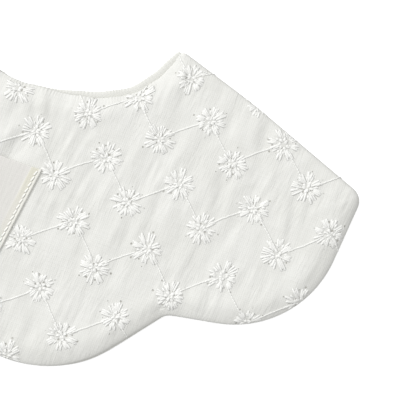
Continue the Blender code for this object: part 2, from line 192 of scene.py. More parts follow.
def wholeRing(neck, petalCount, sideCount, neckCount):  # the outline with the grid's own counts
    petals, shoulder, neckLine = halfCut(neck)
    flip = np.array([-1.0, 1.0])
    bottom = evenly(np.vstack([(petals * flip)[::-1], petals[1:]]), petalCount)
    right = evenly(shoulder, sideCount)
    top = evenly(np.vstack([(neckLine * flip), neckLine[::-1][1:]]), neckCount)
    return bottom, right, top + unit(top) * neckSag(top)[:, None], right * flip


# The creases of the top cloth, placed in the camera's view: mm right of and above the middle
# of the view, the way each runs in degrees, its length, half width and height. A trough is negative.
creaseTable = (
    (30.4, -3, 80, 17, 1.7, 0.26), (33.6, -4, 80, 17, 1.5, -0.28), (37, -4, 75, 14, 1.6, 0.20),
    (0.6, 4, 75, 16, 2.0, 0.26), (4.8, 5, 76, 18, 2.2, -0.30), (9.2, 6, 78, 16, 2.0, 0.22),
    (-21, 15, 56, 24, 2.4, -0.40), (-14, 17, 58, 24, 2.8, 0.32), (-29, 20, 56, 22, 2.6, 0.26),
    (-34, 36, 50, 20, 2.6, -0.36), (-43, 25, 50, 22, 2.4, 0.30), (-49, 29, 50, 16, 2.2, -0.32),
    (-56, 24, 52, 14, 2.0, 0.26), (-61, 33, 72, 16, 2.2, -0.40), (-39, 40, 56, 12, 1.8, 0.22),
    (-73, 44, 85, 12, 1.6, 0.20), (-69.6, 40, 85, 12, 1.5, -0.28), (-66, 42, 86, 14, 1.6, 0.26),
    (-63, 40, 84, 12, 1.4, -0.26), (-77, 26, 30, 18, 3.2, -0.26),
    (-48.4, 9, 62, 14, 1.3, 0.22), (-45, 7, 62, 15, 1.3, -0.26), (-41.6, 5, 62, 14, 1.4, 0.20),
    (-52.4, 7, 62, 14, 1.3, -0.22), (-57, 3, 64, 12, 1.5, 0.18),
    (-33, -11, 62, 16, 1.7, -0.28), (-38.4, -11, 62, 16, 1.8, 0.22), (-29, -10, 64, 12, 1.4, 0.18),
    (-21.4, -2, 66, 15, 1.7, -0.30), (-16, -2, 66, 14, 1.8, 0.24), (-11, -2, 67, 12, 1.5, -0.22),
    (8, -11, 64, 15, 1.6, -0.30), (12, -11, 66, 12, 1.4, 0.22), (3.5, -9, 64, 12, 1.4, 0.18),
    (-11, -23, 64, 16, 1.8, 0.22), (-15, -20, 64, 14, 1.6, -0.22), (-7, -22, 64, 14, 1.4, -0.20),
    (22.8, 31, 80, 16, 2.2, -0.30), (18.4, 31, 78, 18, 2.6, 0.32), (9, 34, 76, 12, 1.8, -0.26),
    (20, 17, 72, 14, 2.2, -0.24), (33, 15, 76, 18, 2.8, 0.26), (25, 13, 74, 12, 1.6, 0.18),
    (50, -8, 62, 64, 13, 0.36), (51, 3.5, 60, 22, 4.6, 0.30),
    (44.4, -12, 58, 24, 4.4, 0.32), (33.8, -26.8, 52, 24, 4.4, 0.28),
    (-71, -49, 72, 16, 2.0, -0.32), (-75.5, -50, 72, 14, 1.8, 0.22), (-65, -51, 72, 18, 2.4, 0.28),
    (3.6, -37, 72, 10, 1.5, 0.24), (0, -38, 75, 10, 1.3, -0.26), (-4, -37, 78, 9, 1.3, 0.16),
    (-12, 53, 72, 14, 2.6, 0.26), (-8, 49, 70, 12, 2.0, -0.22), (-24, 52, 48, 16, 1.8, 0.18),
    (-57, -42, 50, 18, 3.0, 0.26), (-50, -36, 60, 16, 2.0, -0.20), (-30, -30, 58, 14, 2.2, 0.20),
    (15, -28, 66, 12, 1.5, -0.22), (19, -26, 66, 12, 1.6, 0.20), (24, -28, 68, 14, 1.5, -0.20),
    (-13, 38, 70, 22, 4.0, -0.24), (-2, 26, 66, 20, 3.4, -0.22), (-20, 34, 60, 22, 3.2, 0.24),
)
# Broad swells, and the creases of the half that the view doesn't reach, from the ring's middle
swellTable = (
    (46, -78, 78, 50, 9, -0.30), (62, -104, 84, 42, 8, 0.22), (88, -52, 70, 46, 8, 0.24),
    (103, -78, 76, 52, 9, -0.26), (121, -62, 66, 40, 8, 0.26), (30, -122, 88, 36, 8, 0.22),
    (-40, -84, 100, 50, 9, -0.28), (-66, -100, 94, 44, 8, 0.24), (-92, -58, 108, 48, 8, 0.22),
    (-108, -84, 104, 46, 9, -0.26), (-34, -128, 90, 36, 8, 0.20),
)
farCreaseTable = (
    (-30, -72, 96, 20, 2.2, -0.30), (-36, -76, 98, 22, 2.4, 0.26), (-48, -92, 94, 18, 1.8, -0.26),
    (-54, -90, 92, 16, 1.8, 0.24), (-62, -72, 100, 24, 2.6, -0.34), (-69, -74, 102, 22, 2.4, 0.28),
    (-80, -92, 96, 18, 1.6, 0.22), (-85, -90, 96, 18, 1.6, -0.26), (-90, -88, 98, 14, 1.6, 0.20),
    (-98, -60, 104, 22, 2.4, -0.28), (-105, -58, 106, 18, 2.2, 0.26), (-112, -104, 84, 16, 1.8, -0.24),
    (-118, -100, 82, 18, 2.4, 0.26), (-124, -70, 100, 18, 2.2, -0.22), (-72, -128, 92, 16, 2.0, -0.26),
    (-78, -130, 92, 14, 1.8, 0.20), (-22, -142, 84, 16, 2.0, -0.26), (-28, -146, 88, 14, 1.8, 0.22),
    (-52, -140, 96, 14, 2.2, 0.20), (-16, -100, 90, 24, 2.6, 0.20), (-8, -138, 88, 12, 1.6, -0.20),
)
viewValues = {
    "mmPerPixel": 0.40,
    "pixels": 416,
    "aim": (91.7, 20.5),  # mm from the bib's origin, under the middle of the view
    "turn": 27.7,  # degrees that the camera is turned
    "lens": 100.0,
    "sensor": 36.0,
}
creaseBend = 0.035  # how strongly a crease bends away from a straight line


def ringFromView(right, up):  # a place in the view, as a place from the neck ring's middle
    turn = math.radians(viewValues["turn"])
    x = viewValues["aim"][0] + right * math.cos(turn) - up * math.sin(turn)
    y = viewValues["aim"][1] + right * math.sin(turn) + up * math.cos(turn)
    return x, y - ringMiddle


def addCreases(places, rows):  # soft ridges and troughs, summed
    height = np.zeros(len(places))
    for x, y, direction, length, width, rise in rows:
        angle = math.radians(direction)
        along = (places[:, 0] - x) * math.cos(angle) + (places[:, 1] - y) * math.sin(angle)
        across = (places[:, 1] - y) * math.cos(angle) - (places[:, 0] - x) * math.sin(angle)
        across = across + creaseBend * (along * along) / length * (1 if rise > 0 else -1)
        height += rise * np.exp(-((2 * along / length) ** 2) - (across / width) ** 2)
    return height


def ripples(places, seed, direction, across, along, count):  # an uneven field of long soft waves
    random = np.random.default_rng(seed)
    total = np.zeros(len(places))
    angle = math.radians(direction)
    runAlong = places[:, 0] * math.cos(angle) + places[:, 1] * math.sin(angle)
    runAcross = places[:, 1] * math.cos(angle) - places[:, 0] * math.sin(angle)
    for _ in range(count):
        waveAcross = math.tau / random.uniform(*across)
        waveAlong = math.tau / random.uniform(*along) * random.choice((-1, 1))
        total += np.cos(runAcross * waveAcross + runAlong * waveAlong + random.uniform(0, math.tau))
    return total / math.sqrt(count / 2)  # about 1 where it is high


crinkleValues = {
    "fine": 0.045,  # mm
    "fineWaves": ((2.4, 5.5), (16, 50), 60),  # mm apart, mm long, and how many are summed
    "broad": 0.085,
    "broadWaves": ((7, 18), (30, 90), 30),
    "patches": (60, (28, 60), (40, 90), 12),  # where the fine crinkles lie: degrees, mm, mm, count
    "patchShare": 0.45,
    "warp": 91.5,  # degrees
    "rimFall": 0.62,  # mm that the cloth has dropped where its roll begins
    "rimFallFrom": 8.0,  # mm inside the outline
    "rollFrom": 3.2,
    "foldHeld": 0.85,  # share of that fall which a shoulder fold doesn't have
    "seamRidge": 0.50,  # the turned-in seam allowance lifts the cloth along the rim
    "seamRidgeFrom": 6.8,
    "seamRidgeWidth": 4.8,
    "lowest": -0.85,
    "highest": 0.9,
    "moat": 0.13,  # the satin stitches draw the cloth down round each flower
    "moatRadius": 8.0,
    "moatWidth": 2.2,
    "pucker": 0.12,  # and between its petals
    "puckerRadius": 6.4,
    "puckerWidth": 2.0,
    "uneven": (0.75, 0.5),  # middle strength of both, and how far it changes round a flower
    "labelEase": 5.0,  # mm outside the label over which the creases come back
    "labelCalm": 0.85,  # share of the creases that the sewn label holds flat
}


def creasesFromView(rows):
    return tuple(ringFromView(row[0], row[1]) + (row[2] + viewValues["turn"],) + row[3:] for row in rows)


viewCreases = creasesFromView(creaseTable)
besideLabel = creasesFromView((
    (-81.4, 27.8, 48, 22, 3.3, 0.85), (-77.2, 23.4, 48, 20, 3.3, -0.8), (-62.5, 7, 62, 16, 1.8, -0.14),
))


def bump(distances, middle, width):
    return np.exp(-(((distances - middle) / width) ** 2))


def clothRelief(places, seed, rows):
    value = crinkleValues
    height = addCreases(places, rows)
    patches = smoothStep(0.5 + value["patchShare"] * ripples(places, seed + 1, *value["patches"]))
    height += value["fine"] * patches * ripples(places, seed + 2, value["warp"], *value["fineWaves"])
    return height + value["broad"] * ripples(places, seed + 3, value["warp"], *value["broadWaves"])


def rimRelief(distances, shares):  # the fall of the cloth at its rim, and the ridge over the seam allowance
    value = crinkleValues
    fallen = np.clip((value["rimFallFrom"] - distances) / (value["rimFallFrom"] - value["rollFrom"]), 0, 1)
    over = bump(distances, value["seamRidgeFrom"], value["seamRidgeWidth"])
    ridge = value["seamRidge"] * (1 - shares) * over
    return ridge - value["rimFall"] * (1 - value["foldHeld"] * shares) * fallen ** 2


class RimSearch:  # finds how far a place lies inside an outline, and the nearest place on it
    def __init__(self, neck):
        bottom, right, top, left = wholeRing(neck, *bibCut["searchCounts"])
        self.ring = np.vstack([bottom[:-1], right[:-1], top[::-1][:-1], left[::-1][:-1]])
        self.normals = inwardNormals(self.ring)
        self.shares = foldShares(self.ring, self.normals, foldValues["front"])
        self.eases = cornerEase(self.ring)
        self.tree = treeOf(self.ring)

    def near(self, places):
        found = nearestIn(self.tree, places)
        offsets = places - self.ring[found]
        distances = (offsets * self.normals[found]).sum(axis=1)
        far = np.linalg.norm(offsets, axis=1) > 4 * bibCut["arcStep"]
        signed = np.where(far, np.sign(distances) * np.linalg.norm(offsets, axis=1), distances)
        return signed, found


# A rim's stations from the top down: mm inside the outline and height at an open rim, the same where
# the cloth is folded round the shoulder, and the shares of the top's relief and of the rim's ripple
faceStations = (
    (3.2, 5.0, 3.2, 5.0, 1.0, 0), (2.3, 4.72, 2.3, 4.88, 0.97, 0.3), (1.5, 4.36, 1.4, 4.62, 0.88, 0.7),
    (0.85, 3.98, 0.8, 4.30, 0.7, 1.0), (0.42, 3.64, 0.4, 3.85, 0.5, 1.0), (0.14, 3.3, 0.1, 3.2, 0.3, 1.0),
    (0.0, 3.02, 0.0, 2.6, 0.12, 0.7), (0.1, 2.84, 0.12, 1.8, 0, 0.3), (0.28, 2.78, 0.5, 1.15, 0, 0),
    (0.5, 2.86, 0.95, 0.78, 0, 0), (0.85, 3.04, 1.5, 0.58, 0, 0), (1.1, 3.16, 2.2, 0.5, 0, 0),
    (1.25, 3.25, 3.0, 0.5, 0, 0), (1.35, 3.32, 3.0, 1.3, 0, 0), (1.45, 3.4, 1.9, 1.6, 0, 0),
    (1.5, 3.46, 1.35, 2.6, 0, 0), (1.6, 3.54, 1.6, 3.9, 0, 0),
)
foldEnds = 12  # the station where the folded cloth passes to the back
openEnds = 7  # the station where the open rim meets its seam


# A cloth as one closed wall. Its top is a grid inside the outline's four edges, its rim goes through the
# stations, and it ends in a low grid or in a plain fill.
def clothShell(
    name, edges, counts, stations, upper, lower=None, ripple=None, lowGrid=False, limits="front", reach=None
):
    columns, rows = counts
    bottom, right, top, left = edges
    outline = np.vstack([bottom[:-1], right[:-1], top[::-1][:-1], left[::-1][:-1]])
    normals = inwardNormals(outline)
    shares = foldShares(outline, normals, foldValues[limits])
    table = np.array(stations)

    def loopAt(station):
        inset = eases * (table[station, 0] + (table[station, 2] - table[station, 0]) * shares)
        height = table[station, 1] + (table[station, 3] - table[station, 1]) * shares
        if ripple is not None:
            inset = inset - table[station, 5] * ripple(outline)
            height = height + table[station, 5] * ripple(outline)
        if reach is not None:
            inset = inset - reach(outline)
        return outline + normals * inset[:, None], height

    corner = [0, columns, columns + rows, 2 * columns + rows]
    eases = cornerEase(outline)
    for index in corner:  # a square corner, as at the lap, has a narrower rim too
        here, after = outline[index], outline[(index + 1) % len(outline)]
        if unit(here - outline[index - 1]) @ unit(after - here) < foldValues["squareBelow"]:
            away = np.linalg.norm(outline - here, axis=1)
            eases *= np.clip(away / foldValues["squareReach"], foldValues["squareEase"], 1)

    def acrossGrid(ring):  # a Coons patch from the ring's four sides
        low = ring[corner[0]:corner[1] + 1]
        high = ring[corner[2]:corner[3] + 1][::-1]
        rightSide = ring[corner[1]:corner[2] + 1]
        leftSide = np.vstack([ring[corner[3]:], ring[:1]])[::-1]
        u = np.linspace(0, 1, columns + 1)[None, :, None]
        v = np.linspace(0, 1, rows + 1)[:, None, None]
        ruled = (1 - v) * low[None] + v * high[None] + (1 - u) * leftSide[:, None] + u * rightSide[:, None]
        square = (1 - u) * (1 - v) * low[0] + u * (1 - v) * low[-1]
        square = square + (1 - u) * v * high[0] + u * v * high[-1]
        flat = ruled - square
        for _ in range(clothValues["relaxSteps"]):  # evens the cells, so that none folds over its neighbour
            around = flat[:-2, 1:-1] + flat[2:, 1:-1] + flat[1:-1, :-2] + flat[1:-1, 2:]
            flat[1:-1, 1:-1] = around / 4
        return flat

    mesh = bmesh.new()
    ringPlace = mesh.verts.layers.int.new("ringPlace")
    flatLayer = mesh.verts.layers.float_vector.new("flatPlace")
    runs = np.zeros(len(outline))
    placeOf = {}
    for index in range(len(outline)):
        if index < corner[1]:
            placeOf[(index, 0)] = index
        elif index < corner[2]:
            placeOf[(columns, index - corner[1])] = index
        elif index < corner[3]:
            placeOf[(columns - (index - corner[2]), rows)] = index
        else:
            placeOf[(0, rows - (index - corner[3]))] = index

    def addGrid(ring, heights):
        flat = acrossGrid(ring)
        levels = heights(flat.reshape(-1, 2)).reshape(rows + 1, columns + 1)
        made = bmesh.ops.create_grid(mesh, x_segments=columns, y_segments=rows, size=1.0)["verts"]
        for vert in made:
            i = round((vert.co.x + 1) / 2 * columns)
            j = round((vert.co.y + 1) / 2 * rows)
            x, y = flat[j, i]
            vert[ringPlace] = placeOf.get((i, j), -1)
            vert[flatLayer] = (x, y, 0)
            vert.co = (x, y, levels[j, i])
        return made

    firstPlaces, firstHeights = loopAt(0)
    verts = addGrid(firstPlaces, upper)
    relief = upper(firstPlaces) - table[0, 1]
    lastPlaces, _ = loopAt(len(table) - 1)
    lowRelief = np.zeros(len(outline)) if lower is None else lower(lastPlaces) - table[-1, 1]
    rimEdges = [edge for edge in mesh.edges if edge.is_boundary]
    before = np.column_stack([firstPlaces, firstHeights])
    for station in range(1, len(table)):
        places, heights = loopAt(station)
        after = np.column_stack([places, heights])
        runs = runs + np.linalg.norm(after - before, axis=1)
        before = after
        heights = heights + table[station, 4] * relief + (1 - table[station, 4]) * lowRelief
        flat = firstPlaces - normals * runs[:, None]
        grown = bmesh.ops.extrude_edge_only(mesh, edges=rimEdges)["geom"]
        rimEdges = [part for part in grown if isinstance(part, bmesh.types.BMEdge) and part.is_boundary]
        for vert in (part for part in grown if isinstance(part, bmesh.types.BMVert)):
            index = vert[ringPlace]
            vert.co = (places[index, 0], places[index, 1], max(0.0, heights[index]))
            vert[flatLayer] = (flat[index, 0], flat[index, 1], 0)
    if lowGrid:
        low = addGrid(lastPlaces, lower)
        lastLoop = list({vert for edge in rimEdges for vert in edge.verts})
        bmesh.ops.remove_doubles(mesh, verts=lastLoop + low, dist=clothValues["weld"])
    else:
        bmesh.ops.holes_fill(mesh, edges=rimEdges, sides=0)
    bmesh.ops.recalc_face_normals(mesh, faces=mesh.faces)
    return finished(name, mesh)


def toRow(mesh):  # from mm round the neck ring to metres round the bib's origin
    bmesh.ops.translate(mesh, vec=(0, ringMiddle, 0), verts=mesh.verts)
    bmesh.ops.scale(mesh, vec=(mm, mm, mm), verts=mesh.verts)


def showMesh(data):  # an object of the mesh's own name
    data.shade_smooth()
    made = bpy.data.objects.new(data.name, data)
    bpy.context.scene.collection.objects.link(made)
    return made


def addObject(name, mesh):
    data = bpy.data.meshes.new(name)
    mesh.to_mesh(data)
    mesh.free()
    return showMesh(data)


def finished(name, mesh):
    toRow(mesh)
    return addObject(name, mesh)


# The label patch: its sides run along the bib, its top and bottom dip, its side hems are turned twice
labelValues = {
    "halfWidth": 25.8,
    "sideTop": 85.4,
    "height": 42.5,
    "topDip": 3.0,
    "bottomDip": 1.2,
    "dipPower": 1.6,
    "counts": (140, 110),
    "thickness": 0.55,
    "overThreads": (0.4, 0.2),  # mm that flowers and chains reach under its edge
    "lift": 0.12,  # mm above the front cloth's broad form
    "waves": (0.05, (9, 24), (30, 80), 16),  # mm high, mm apart, mm long, and how many are summed
    "crinkles": (0.012, (1.6, 3.0), (8, 30), 40),
    "hemWidth": 4.1,
    "hemRise": 0.12,
    "hemSoft": 0.25,
    "hemFade": (22.0, 2.0),  # mm below the top between which the hem's cream comes up
    "hemFaint": 0.35,
    "lipRise": 0.12,  # the fold of the hem stands up beside the stitches
    "lipInset": 0.7,
    "lipSpread": 0.45,
    # width of the painted highlight along the hem's fold
    "lipHighlightWidth": 1.0,
    "bandSoft": 0.2,
    "stitchInset": 1.5,
    "stitchPitch": 2.5,
    "stitchLength": 2.6,
    "stitchWidth": 0.8,
    "stitchHeight": 0.38,
    "stitchSlant": 0.5,  # mm that a stitch turns across its seam
    "stitchLift": 0.2,
    "seamFromTop": 1.0,  # mm from the label's top to the first stitch
    "seamShort": 1.6,  # mm of the side that hold no stitch
    "seamClear": 0.4,  # mm above its bottom where the last stitch ends
    "stitchSpans": ((-0.1, 0.1), (-0.05, 0.05)),  # mm that chance shifts a stitch, and half its slant
    "grooveDepth": 0.1,
    "grooveWidth": 0.3,
}

# The embroidery repeats on a slanted lattice, two flowers to a cell, and lies a little askew
embroidery = {
    "first": (77.1, -64.8),
    "along": (30.8, 4.6),
    "across": (-0.7, 28.6),
    "second": (15.8, -11.7),
    "bends": ((0.377, 0.215), (-0.967, 0.63), (0.198, -0.528)),  # mm for each 1000 square mm
    "bendEnds": (-80.0, 70.0),
    "reach": 12,  # cells either way
    "pastRim": 6.8,  # mm that a flower's middle may lie past an open rim, and past a shoulder's fold
    "pastFold": 10.3,
    "petals": 8,
    "turn": 8.5,  # degrees of the first petal
    "petalTurns": (-6, 6),
    "petalReach": 6.9,
    "reachSpan": (-1.1, 0.5),  # a span is what chance adds to a thread's value
    "petalRoot": 1.75,
    "rootSpan": (-0.9, 1.1),
    "rootSpread": 0.5,  # mm that a petal's outer threads lie beside its axis at their roots
    "petalSpread": 1.12,  # and at their tips
    "spreadShares": (0.6, 1.15),
    "placeSpan": (-0.12, 0.12),  # share of the spread
    "rootStep": 0.25,  # mm that the outer threads begin further out
    "petalNotch": 1.3,
    "petalSway": (-0.35, 0.35),
    "petalThreads": (3, 5),  # from three to fewer than five
    "tipSpan": (-0.7, 0.35),
    "gapShare": 0.75,  # share of the gaps between petals that hold a short stitch
    "gapTurns": (-7, 7),
    "gapRoots": (2.5, 3.0),
    "gapLengths": (1.2, 2.4),
    "gapSway": (-0.4, 0.4),
    "knotBars": 7,
    "knotTurns": (-16, 16),
    "knotRoots": (0.0, 1.1),
    "knotLengths": (1.0, 2.1),
    "knotSway": (-0.7, 0.7),
    "knotHalf": 0.16,  # mm from a bar's middle to either of its two threads
    "threadWidth": 1.15,
    "threadHeight": 0.32,
    "threadSizes": (0.82, 1.15),
    "threadRise": (-0.03, 0.04),
    "petalLift": 0.03,
    "gapLift": 0.01,
    "knotLift": 0.04,
}
chainValues = {
    "stitch": 1.3,  # mm
    "clear": 9.6,  # mm of the way from flower to flower that the chain leaves free
    "fromFirst": 4.6,
    "toSecond": 5.0,
    "bow": (-0.9, 0.9),
    "drift": (-0.09, 0.09),
    "overlap": 0.2,  # share of a stitch
    "beside": (0.08, 0.17),
    "widths": (0.5, 0.65),
    "height": 0.38,
    "lift": 0.1,
    "endDrop": 0.5,
    "pastRim": 7.0,
}
# Where the underside's threads end, in mm from its rim, the lap's two lines, the snap and the fold
backThreads = {
    "fromRim": 0.9,
    "fromCut": 1.8,
    "pastLap": 1.2,
    "fromSnap": 5.6,
    "pastFold": 7.0,
    "pastRim": 4.0,
}


def latticePlace(i, j, second):
    value = embroidery
    offset = np.array(value["along"]) * i + np.array(value["across"]) * j
    if second:
        offset = offset + np.array(value["second"])
    x, y = max(value["bendEnds"][0], min(value["bendEnds"][1], offset[0])), offset[1]
    squared, crossed, risen = (np.array(bend) for bend in value["bends"])
    return np.array(value["first"]) + offset + (squared * x * x + crossed * x * y + risen * y * y) / 1000


def latticeFlowers():
    span = range(-embroidery["reach"], embroidery["reach"])
    return {(i, j, k): latticePlace(i, j, k) for i in span for j in span for k in (0, 1)}


flowers = latticeFlowers()
keys = list(flowers)
centres = np.array([flowers[key] for key in keys])
flowerTree = treeOf(centres)
frontRim = RimSearch("frontNeck")
backRim = RimSearch("backNeck")
faceTop = 5.0  # mm above the table
aboveTable = 0.02


def flowerPuckers(places):
    value = crinkleValues
    nearest = nearestIn(flowerTree, places)
    offsets = places - centres[nearest]
    radii = np.linalg.norm(offsets, axis=1)
    angles = np.arctan2(offsets[:, 1], offsets[:, 0]) - math.radians(embroidery["turn"])
    middle, change = value["uneven"]
    uneven = middle + change * np.sin(3 * angles + nearest) * np.cos(2 * angles + 2.3 * nearest)
    height = -value["moat"] * uneven * bump(radii, value["moatRadius"], value["moatWidth"])
    between = 0.5 - 0.5 * np.cos(embroidery["petals"] * angles)
    drawn = value["pucker"] * uneven * between
    return height - drawn * bump(radii, value["puckerRadius"], value["puckerWidth"])


def labelCalm(places):  # how much the sewn label holds the cloth flat
    value = labelValues
    middle = -value["sideTop"] - value["height"] / 2 - value["topDip"] / 2
    besideX = np.abs(places[:, 0]) - value["halfWidth"]
    besideY = np.abs(places[:, 1] - middle) - value["height"] / 2
    beyond = np.maximum(besideX, besideY)
    return crinkleValues["labelCalm"] * (1 - smoothStep(beyond / crinkleValues["labelEase"]))


def faceHeight(places):
    distances, feet = frontRim.near(places)
    calm = labelCalm(places)
    relief = clothRelief(places, 11, farCreaseTable + viewCreases) + flowerPuckers(places)
    relief = relief * (1 - calm) + addCreases(places, swellTable)
    relief += rimRelief(distances, frontRim.shares[feet])
    relief += addCreases(places, besideLabel)
    return faceTop + np.clip(relief, crinkleValues["lowest"], crinkleValues["highest"])


clothValues = {
    "relaxSteps": 400,  # rounds that even a grid's cells
    "frontCounts": (420, 128),  # quads along the petals, and from the petals to the neck
    "liningCounts": (160, 30),
    "backCounts": (230, 80),
    "backBase": 0.5,  # mm from the table to the folded-under cloth, which lies on its embroidery
    "backTop": 2.3,
    "lapThickness": 1.0,
    "lapClear": 0.05,
    "backShare": 0.55,  # of the front's creases, as the back is pressed against the table
    "backLimits": (-0.3, 0.25),
    "liningFrom": 1.15,  # mm above the table, where the back half's face cloth passes to its lining
    "weld": 0.02,  # mm between points that become one
    "foldAllowance": 2.8,  # mm of cloth in the fold that neither the front nor the back shows
    "bowShift": 2.5,  # half of how far the shoulder's edge bows out past a straight line
}


def ringEdges(counts, neck):
    return wholeRing(neck, counts[0], counts[1], counts[0])


def neckReach(ring, table):  # how far the right and left neck edges reach past the cut, by angle
    angle = np.degrees(np.abs(fromFront(ring)))
    band, fade = bibCut["neckBand"]
    return np.interp(angle, *zip(*table)) * (1 - smoothStep((np.linalg.norm(ring, axis=1) - band) / fade))


frontNeckReach = ((20, 0.0), (36, -0.35), (50, -0.35), (66, 0.0))  # degrees, mm
backNeckReach = ((10, 0.2), (22, 0.55), (38, 0.85), (52, 1.1), (66, 1.2), (73, 0.9))
backPetalReach = (  # degrees from the centre front, mm that the back half shows past the front
    (0, 0.6), (4, 0.95), (9, 0.9), (14, 0.55), (20, 0.45), (24, 0.6), (28, 0.95), (33, 1.0), (38, 0.75),
    (42, 0.5), (46, 0.45), (55, 0.35), (66, 0.3), (76, 0.3),
)


def frontReach(ring):
    return neckReach(ring, frontNeckReach)


def backReach(ring):
    angle = np.degrees(np.abs(fromFront(ring)))
    atPetals = np.linalg.norm(ring, axis=1) > bibCut["petalsFrom"]
    petals = np.where(atPetals, np.interp(angle, *zip(*backPetalReach)), 0.0)
    return neckReach(ring, backNeckReach) + petals


neckRibs = {
    "pitch": 1.35,  # mm
    "reach": 0.13,
    "angle": 71.0,  # degrees from the centre front
    "within": 62.0,  # mm from the ring's middle
    "wander": ((1.6, 19), (0.9, 43)),  # radians of shift, and how often round the ring
    "strength": (0.65, 0.35, 27),
}


def ribRipple(ring):  # small uneven gathered ribs along the neck edge alone
    distance = np.linalg.norm(ring, axis=1)
    angle = fromFront(ring)
    atNeck = (distance < neckRibs["within"]) & (np.abs(angle) < math.radians(neckRibs["angle"]))
    phase = angle * distance / neckRibs["pitch"] * math.tau
    for shift, times in neckRibs["wander"]:
        phase = phase + shift * np.sin(angle * times)
    middle, change, times = neckRibs["strength"]
    strength = middle + change * np.sin(angle * times + 1.0)
    return np.where(atNeck, neckRibs["reach"] * strength * np.cos(phase), 0.0)


counts = clothValues["frontCounts"]
frontEdges = ringEdges(counts, "frontNeck")
frontCloth = clothShell(
    "frontCloth", frontEdges, counts, faceStations, faceHeight, ripple=ribRipple, reach=frontReach
)
print("front cloth")

# The lining shows only as a thin edge below the front cloth's rim. A station has the same six columns.
liningStations = (
    (2.3, 3.42, 3.2, 3.6, 0, 0), (1.9, 3.28, 3.05, 3.58, 0, 0), (1.4, 3.06, 2.9, 3.5, 0, 0),
    (0.9, 2.82, 2.8, 3.35, 0, 0), (0.55, 2.7, 2.8, 3.15, 0, 0), (0.42, 2.62, 2.8, 3.0, 0, 0),
    (0.5, 2.52, 2.8, 2.85, 0, 0), (0.9, 2.5, 2.9, 2.7, 0, 0), (1.3, 2.5, 3.05, 2.62, 0, 0),
    (1.7, 2.52, 3.2, 2.6, 0, 0),
)


def levelAt(height):
    return lambda places: np.full(len(places), height)


counts = clothValues["liningCounts"]
liningEdges = ringEdges(counts, "frontNeck")
frontLining = clothShell(
    "frontLining", liningEdges, counts, liningStations, levelAt(liningStations[0][1]), limits="inside"
)

# The back half, in two sides that lap at the centre back. Its neck edge shows past the front's, as a
# roll of lining gathered into small ribs.
backStations = (
    (1.8, 2.3, 4.4, 2.3, 1.0, 0.3), (1.1, 2.28, 3.9, 2.28, 1.0, 0.8), (0.55, 2.1, 3.4, 2.1, 1.0, 1.0),
    (0.3, 1.8, 3.1, 1.8, 0.9, 1.0), (0.45, 1.45, 3.05, 1.5, 0.6, 0.6), (0.9, 1.2, 3.3, 1.2, 0.5, 0),
    (0.5, 1.05, 3.05, 1.05, 0.4, 0), (0.3, 0.85, 3.03, 0.8, 0.2, 0), (0.5, 0.6, 3.03, 0.55, 0.1, 0),
    (1.1, 0.5, 3.1, 0.5, 0.0, 0), (1.8, 0.5, 3.4, 0.5, 0.0, 0),
)


def sideEdges(counts, cutAt, side):  # a side's outline as if on the right, from its cut at the centre back
    petals, shoulder, neckLine = halfCut("backNeck")
    flip = np.array([-1.0, 1.0])
    petals = np.vstack([(petals * flip)[::-1], petals[1:]])
    neckLine = np.vstack([neckLine, (neckLine * flip)[::-1][1:]])
    bottom = evenly(petals[petals[:, 0] >= cutAt], counts[0])
    top = evenly(neckLine[neckLine[:, 0] >= cutAt][::-1], counts[0])
    top = top + unit(top) * neckSag(top * (side, 1))[:, None]
    return bottom, evenly(shoulder, counts[1]), top, evenly(np.array([bottom[0], top[0]]), counts[1])


def backRelief(places, seed):
    distances, feet = backRim.near(places)
    rows = [(abs(x), y, 180 - direction, *rest) for x, y, direction, *rest in farCreaseTable]
    relief = clothRelief(places, seed, rows) + rimRelief(distances, backRim.shares[feet])
    return np.clip(clothValues["backShare"] * relief, *clothValues["backLimits"])


def lapShare(places):  # 1 inside the lap and 0 outside it, on the right-hand side
    past = places[:, 0] - bibCut["lapHalfWidth"] - bibCut["lapStepFrom"]
    return 1 - smoothStep(past / bibCut["lapStepWidth"])


lapDrop = clothValues["backTop"] - clothValues["lapThickness"]


def overLow(places):
    raised = (lapDrop - clothValues["backBase"] + clothValues["lapClear"]) * lapShare(places)
    return clothValues["backBase"] + raised - backRelief(places, 31)


def underTop(places):
    return clothValues["backTop"] - lapDrop * lapShare(places)


def underLow(places):
    return clothValues["backBase"] - backRelief(places, 37)


shoulderRun = unit(neckCorner - outerCorner)
shoulderOut = np.array([shoulderRun[1], -shoulderRun[0]])
foldMiddle = (outerCorner + neckCorner) / 2 + shoulderOut * clothValues["bowShift"]


def unfolded(places):  # where a place of the back's right side lies on the cloth laid open
    inset = (foldMiddle - places) @ shoulderOut
    return places + shoulderOut * (2 * inset + clothValues["foldAllowance"])[:, None]


def folded(places):  # where a place beyond the right shoulder comes to lie on the back
    past = (places - foldMiddle) @ shoulderOut
    return places - shoulderOut * (2 * past - clothValues["foldAllowance"])[:, None]


def flatArray(data):
    flat = np.empty(len(data.vertices) * 3)
    data.attributes["flatPlace"].data.foreach_get("vector", flat)
    return flat.reshape(-1, 3)


def openFlat(piece, side):  # turns a back piece's flat places into those of the cloth laid open
    flat = flatArray(piece.data)
    flat[:, :2] = unfolded(flat[:, :2])
    flat[:, 0] *= side
    piece.data.attributes["flatPlace"].data.foreach_set("vector", flat.ravel())


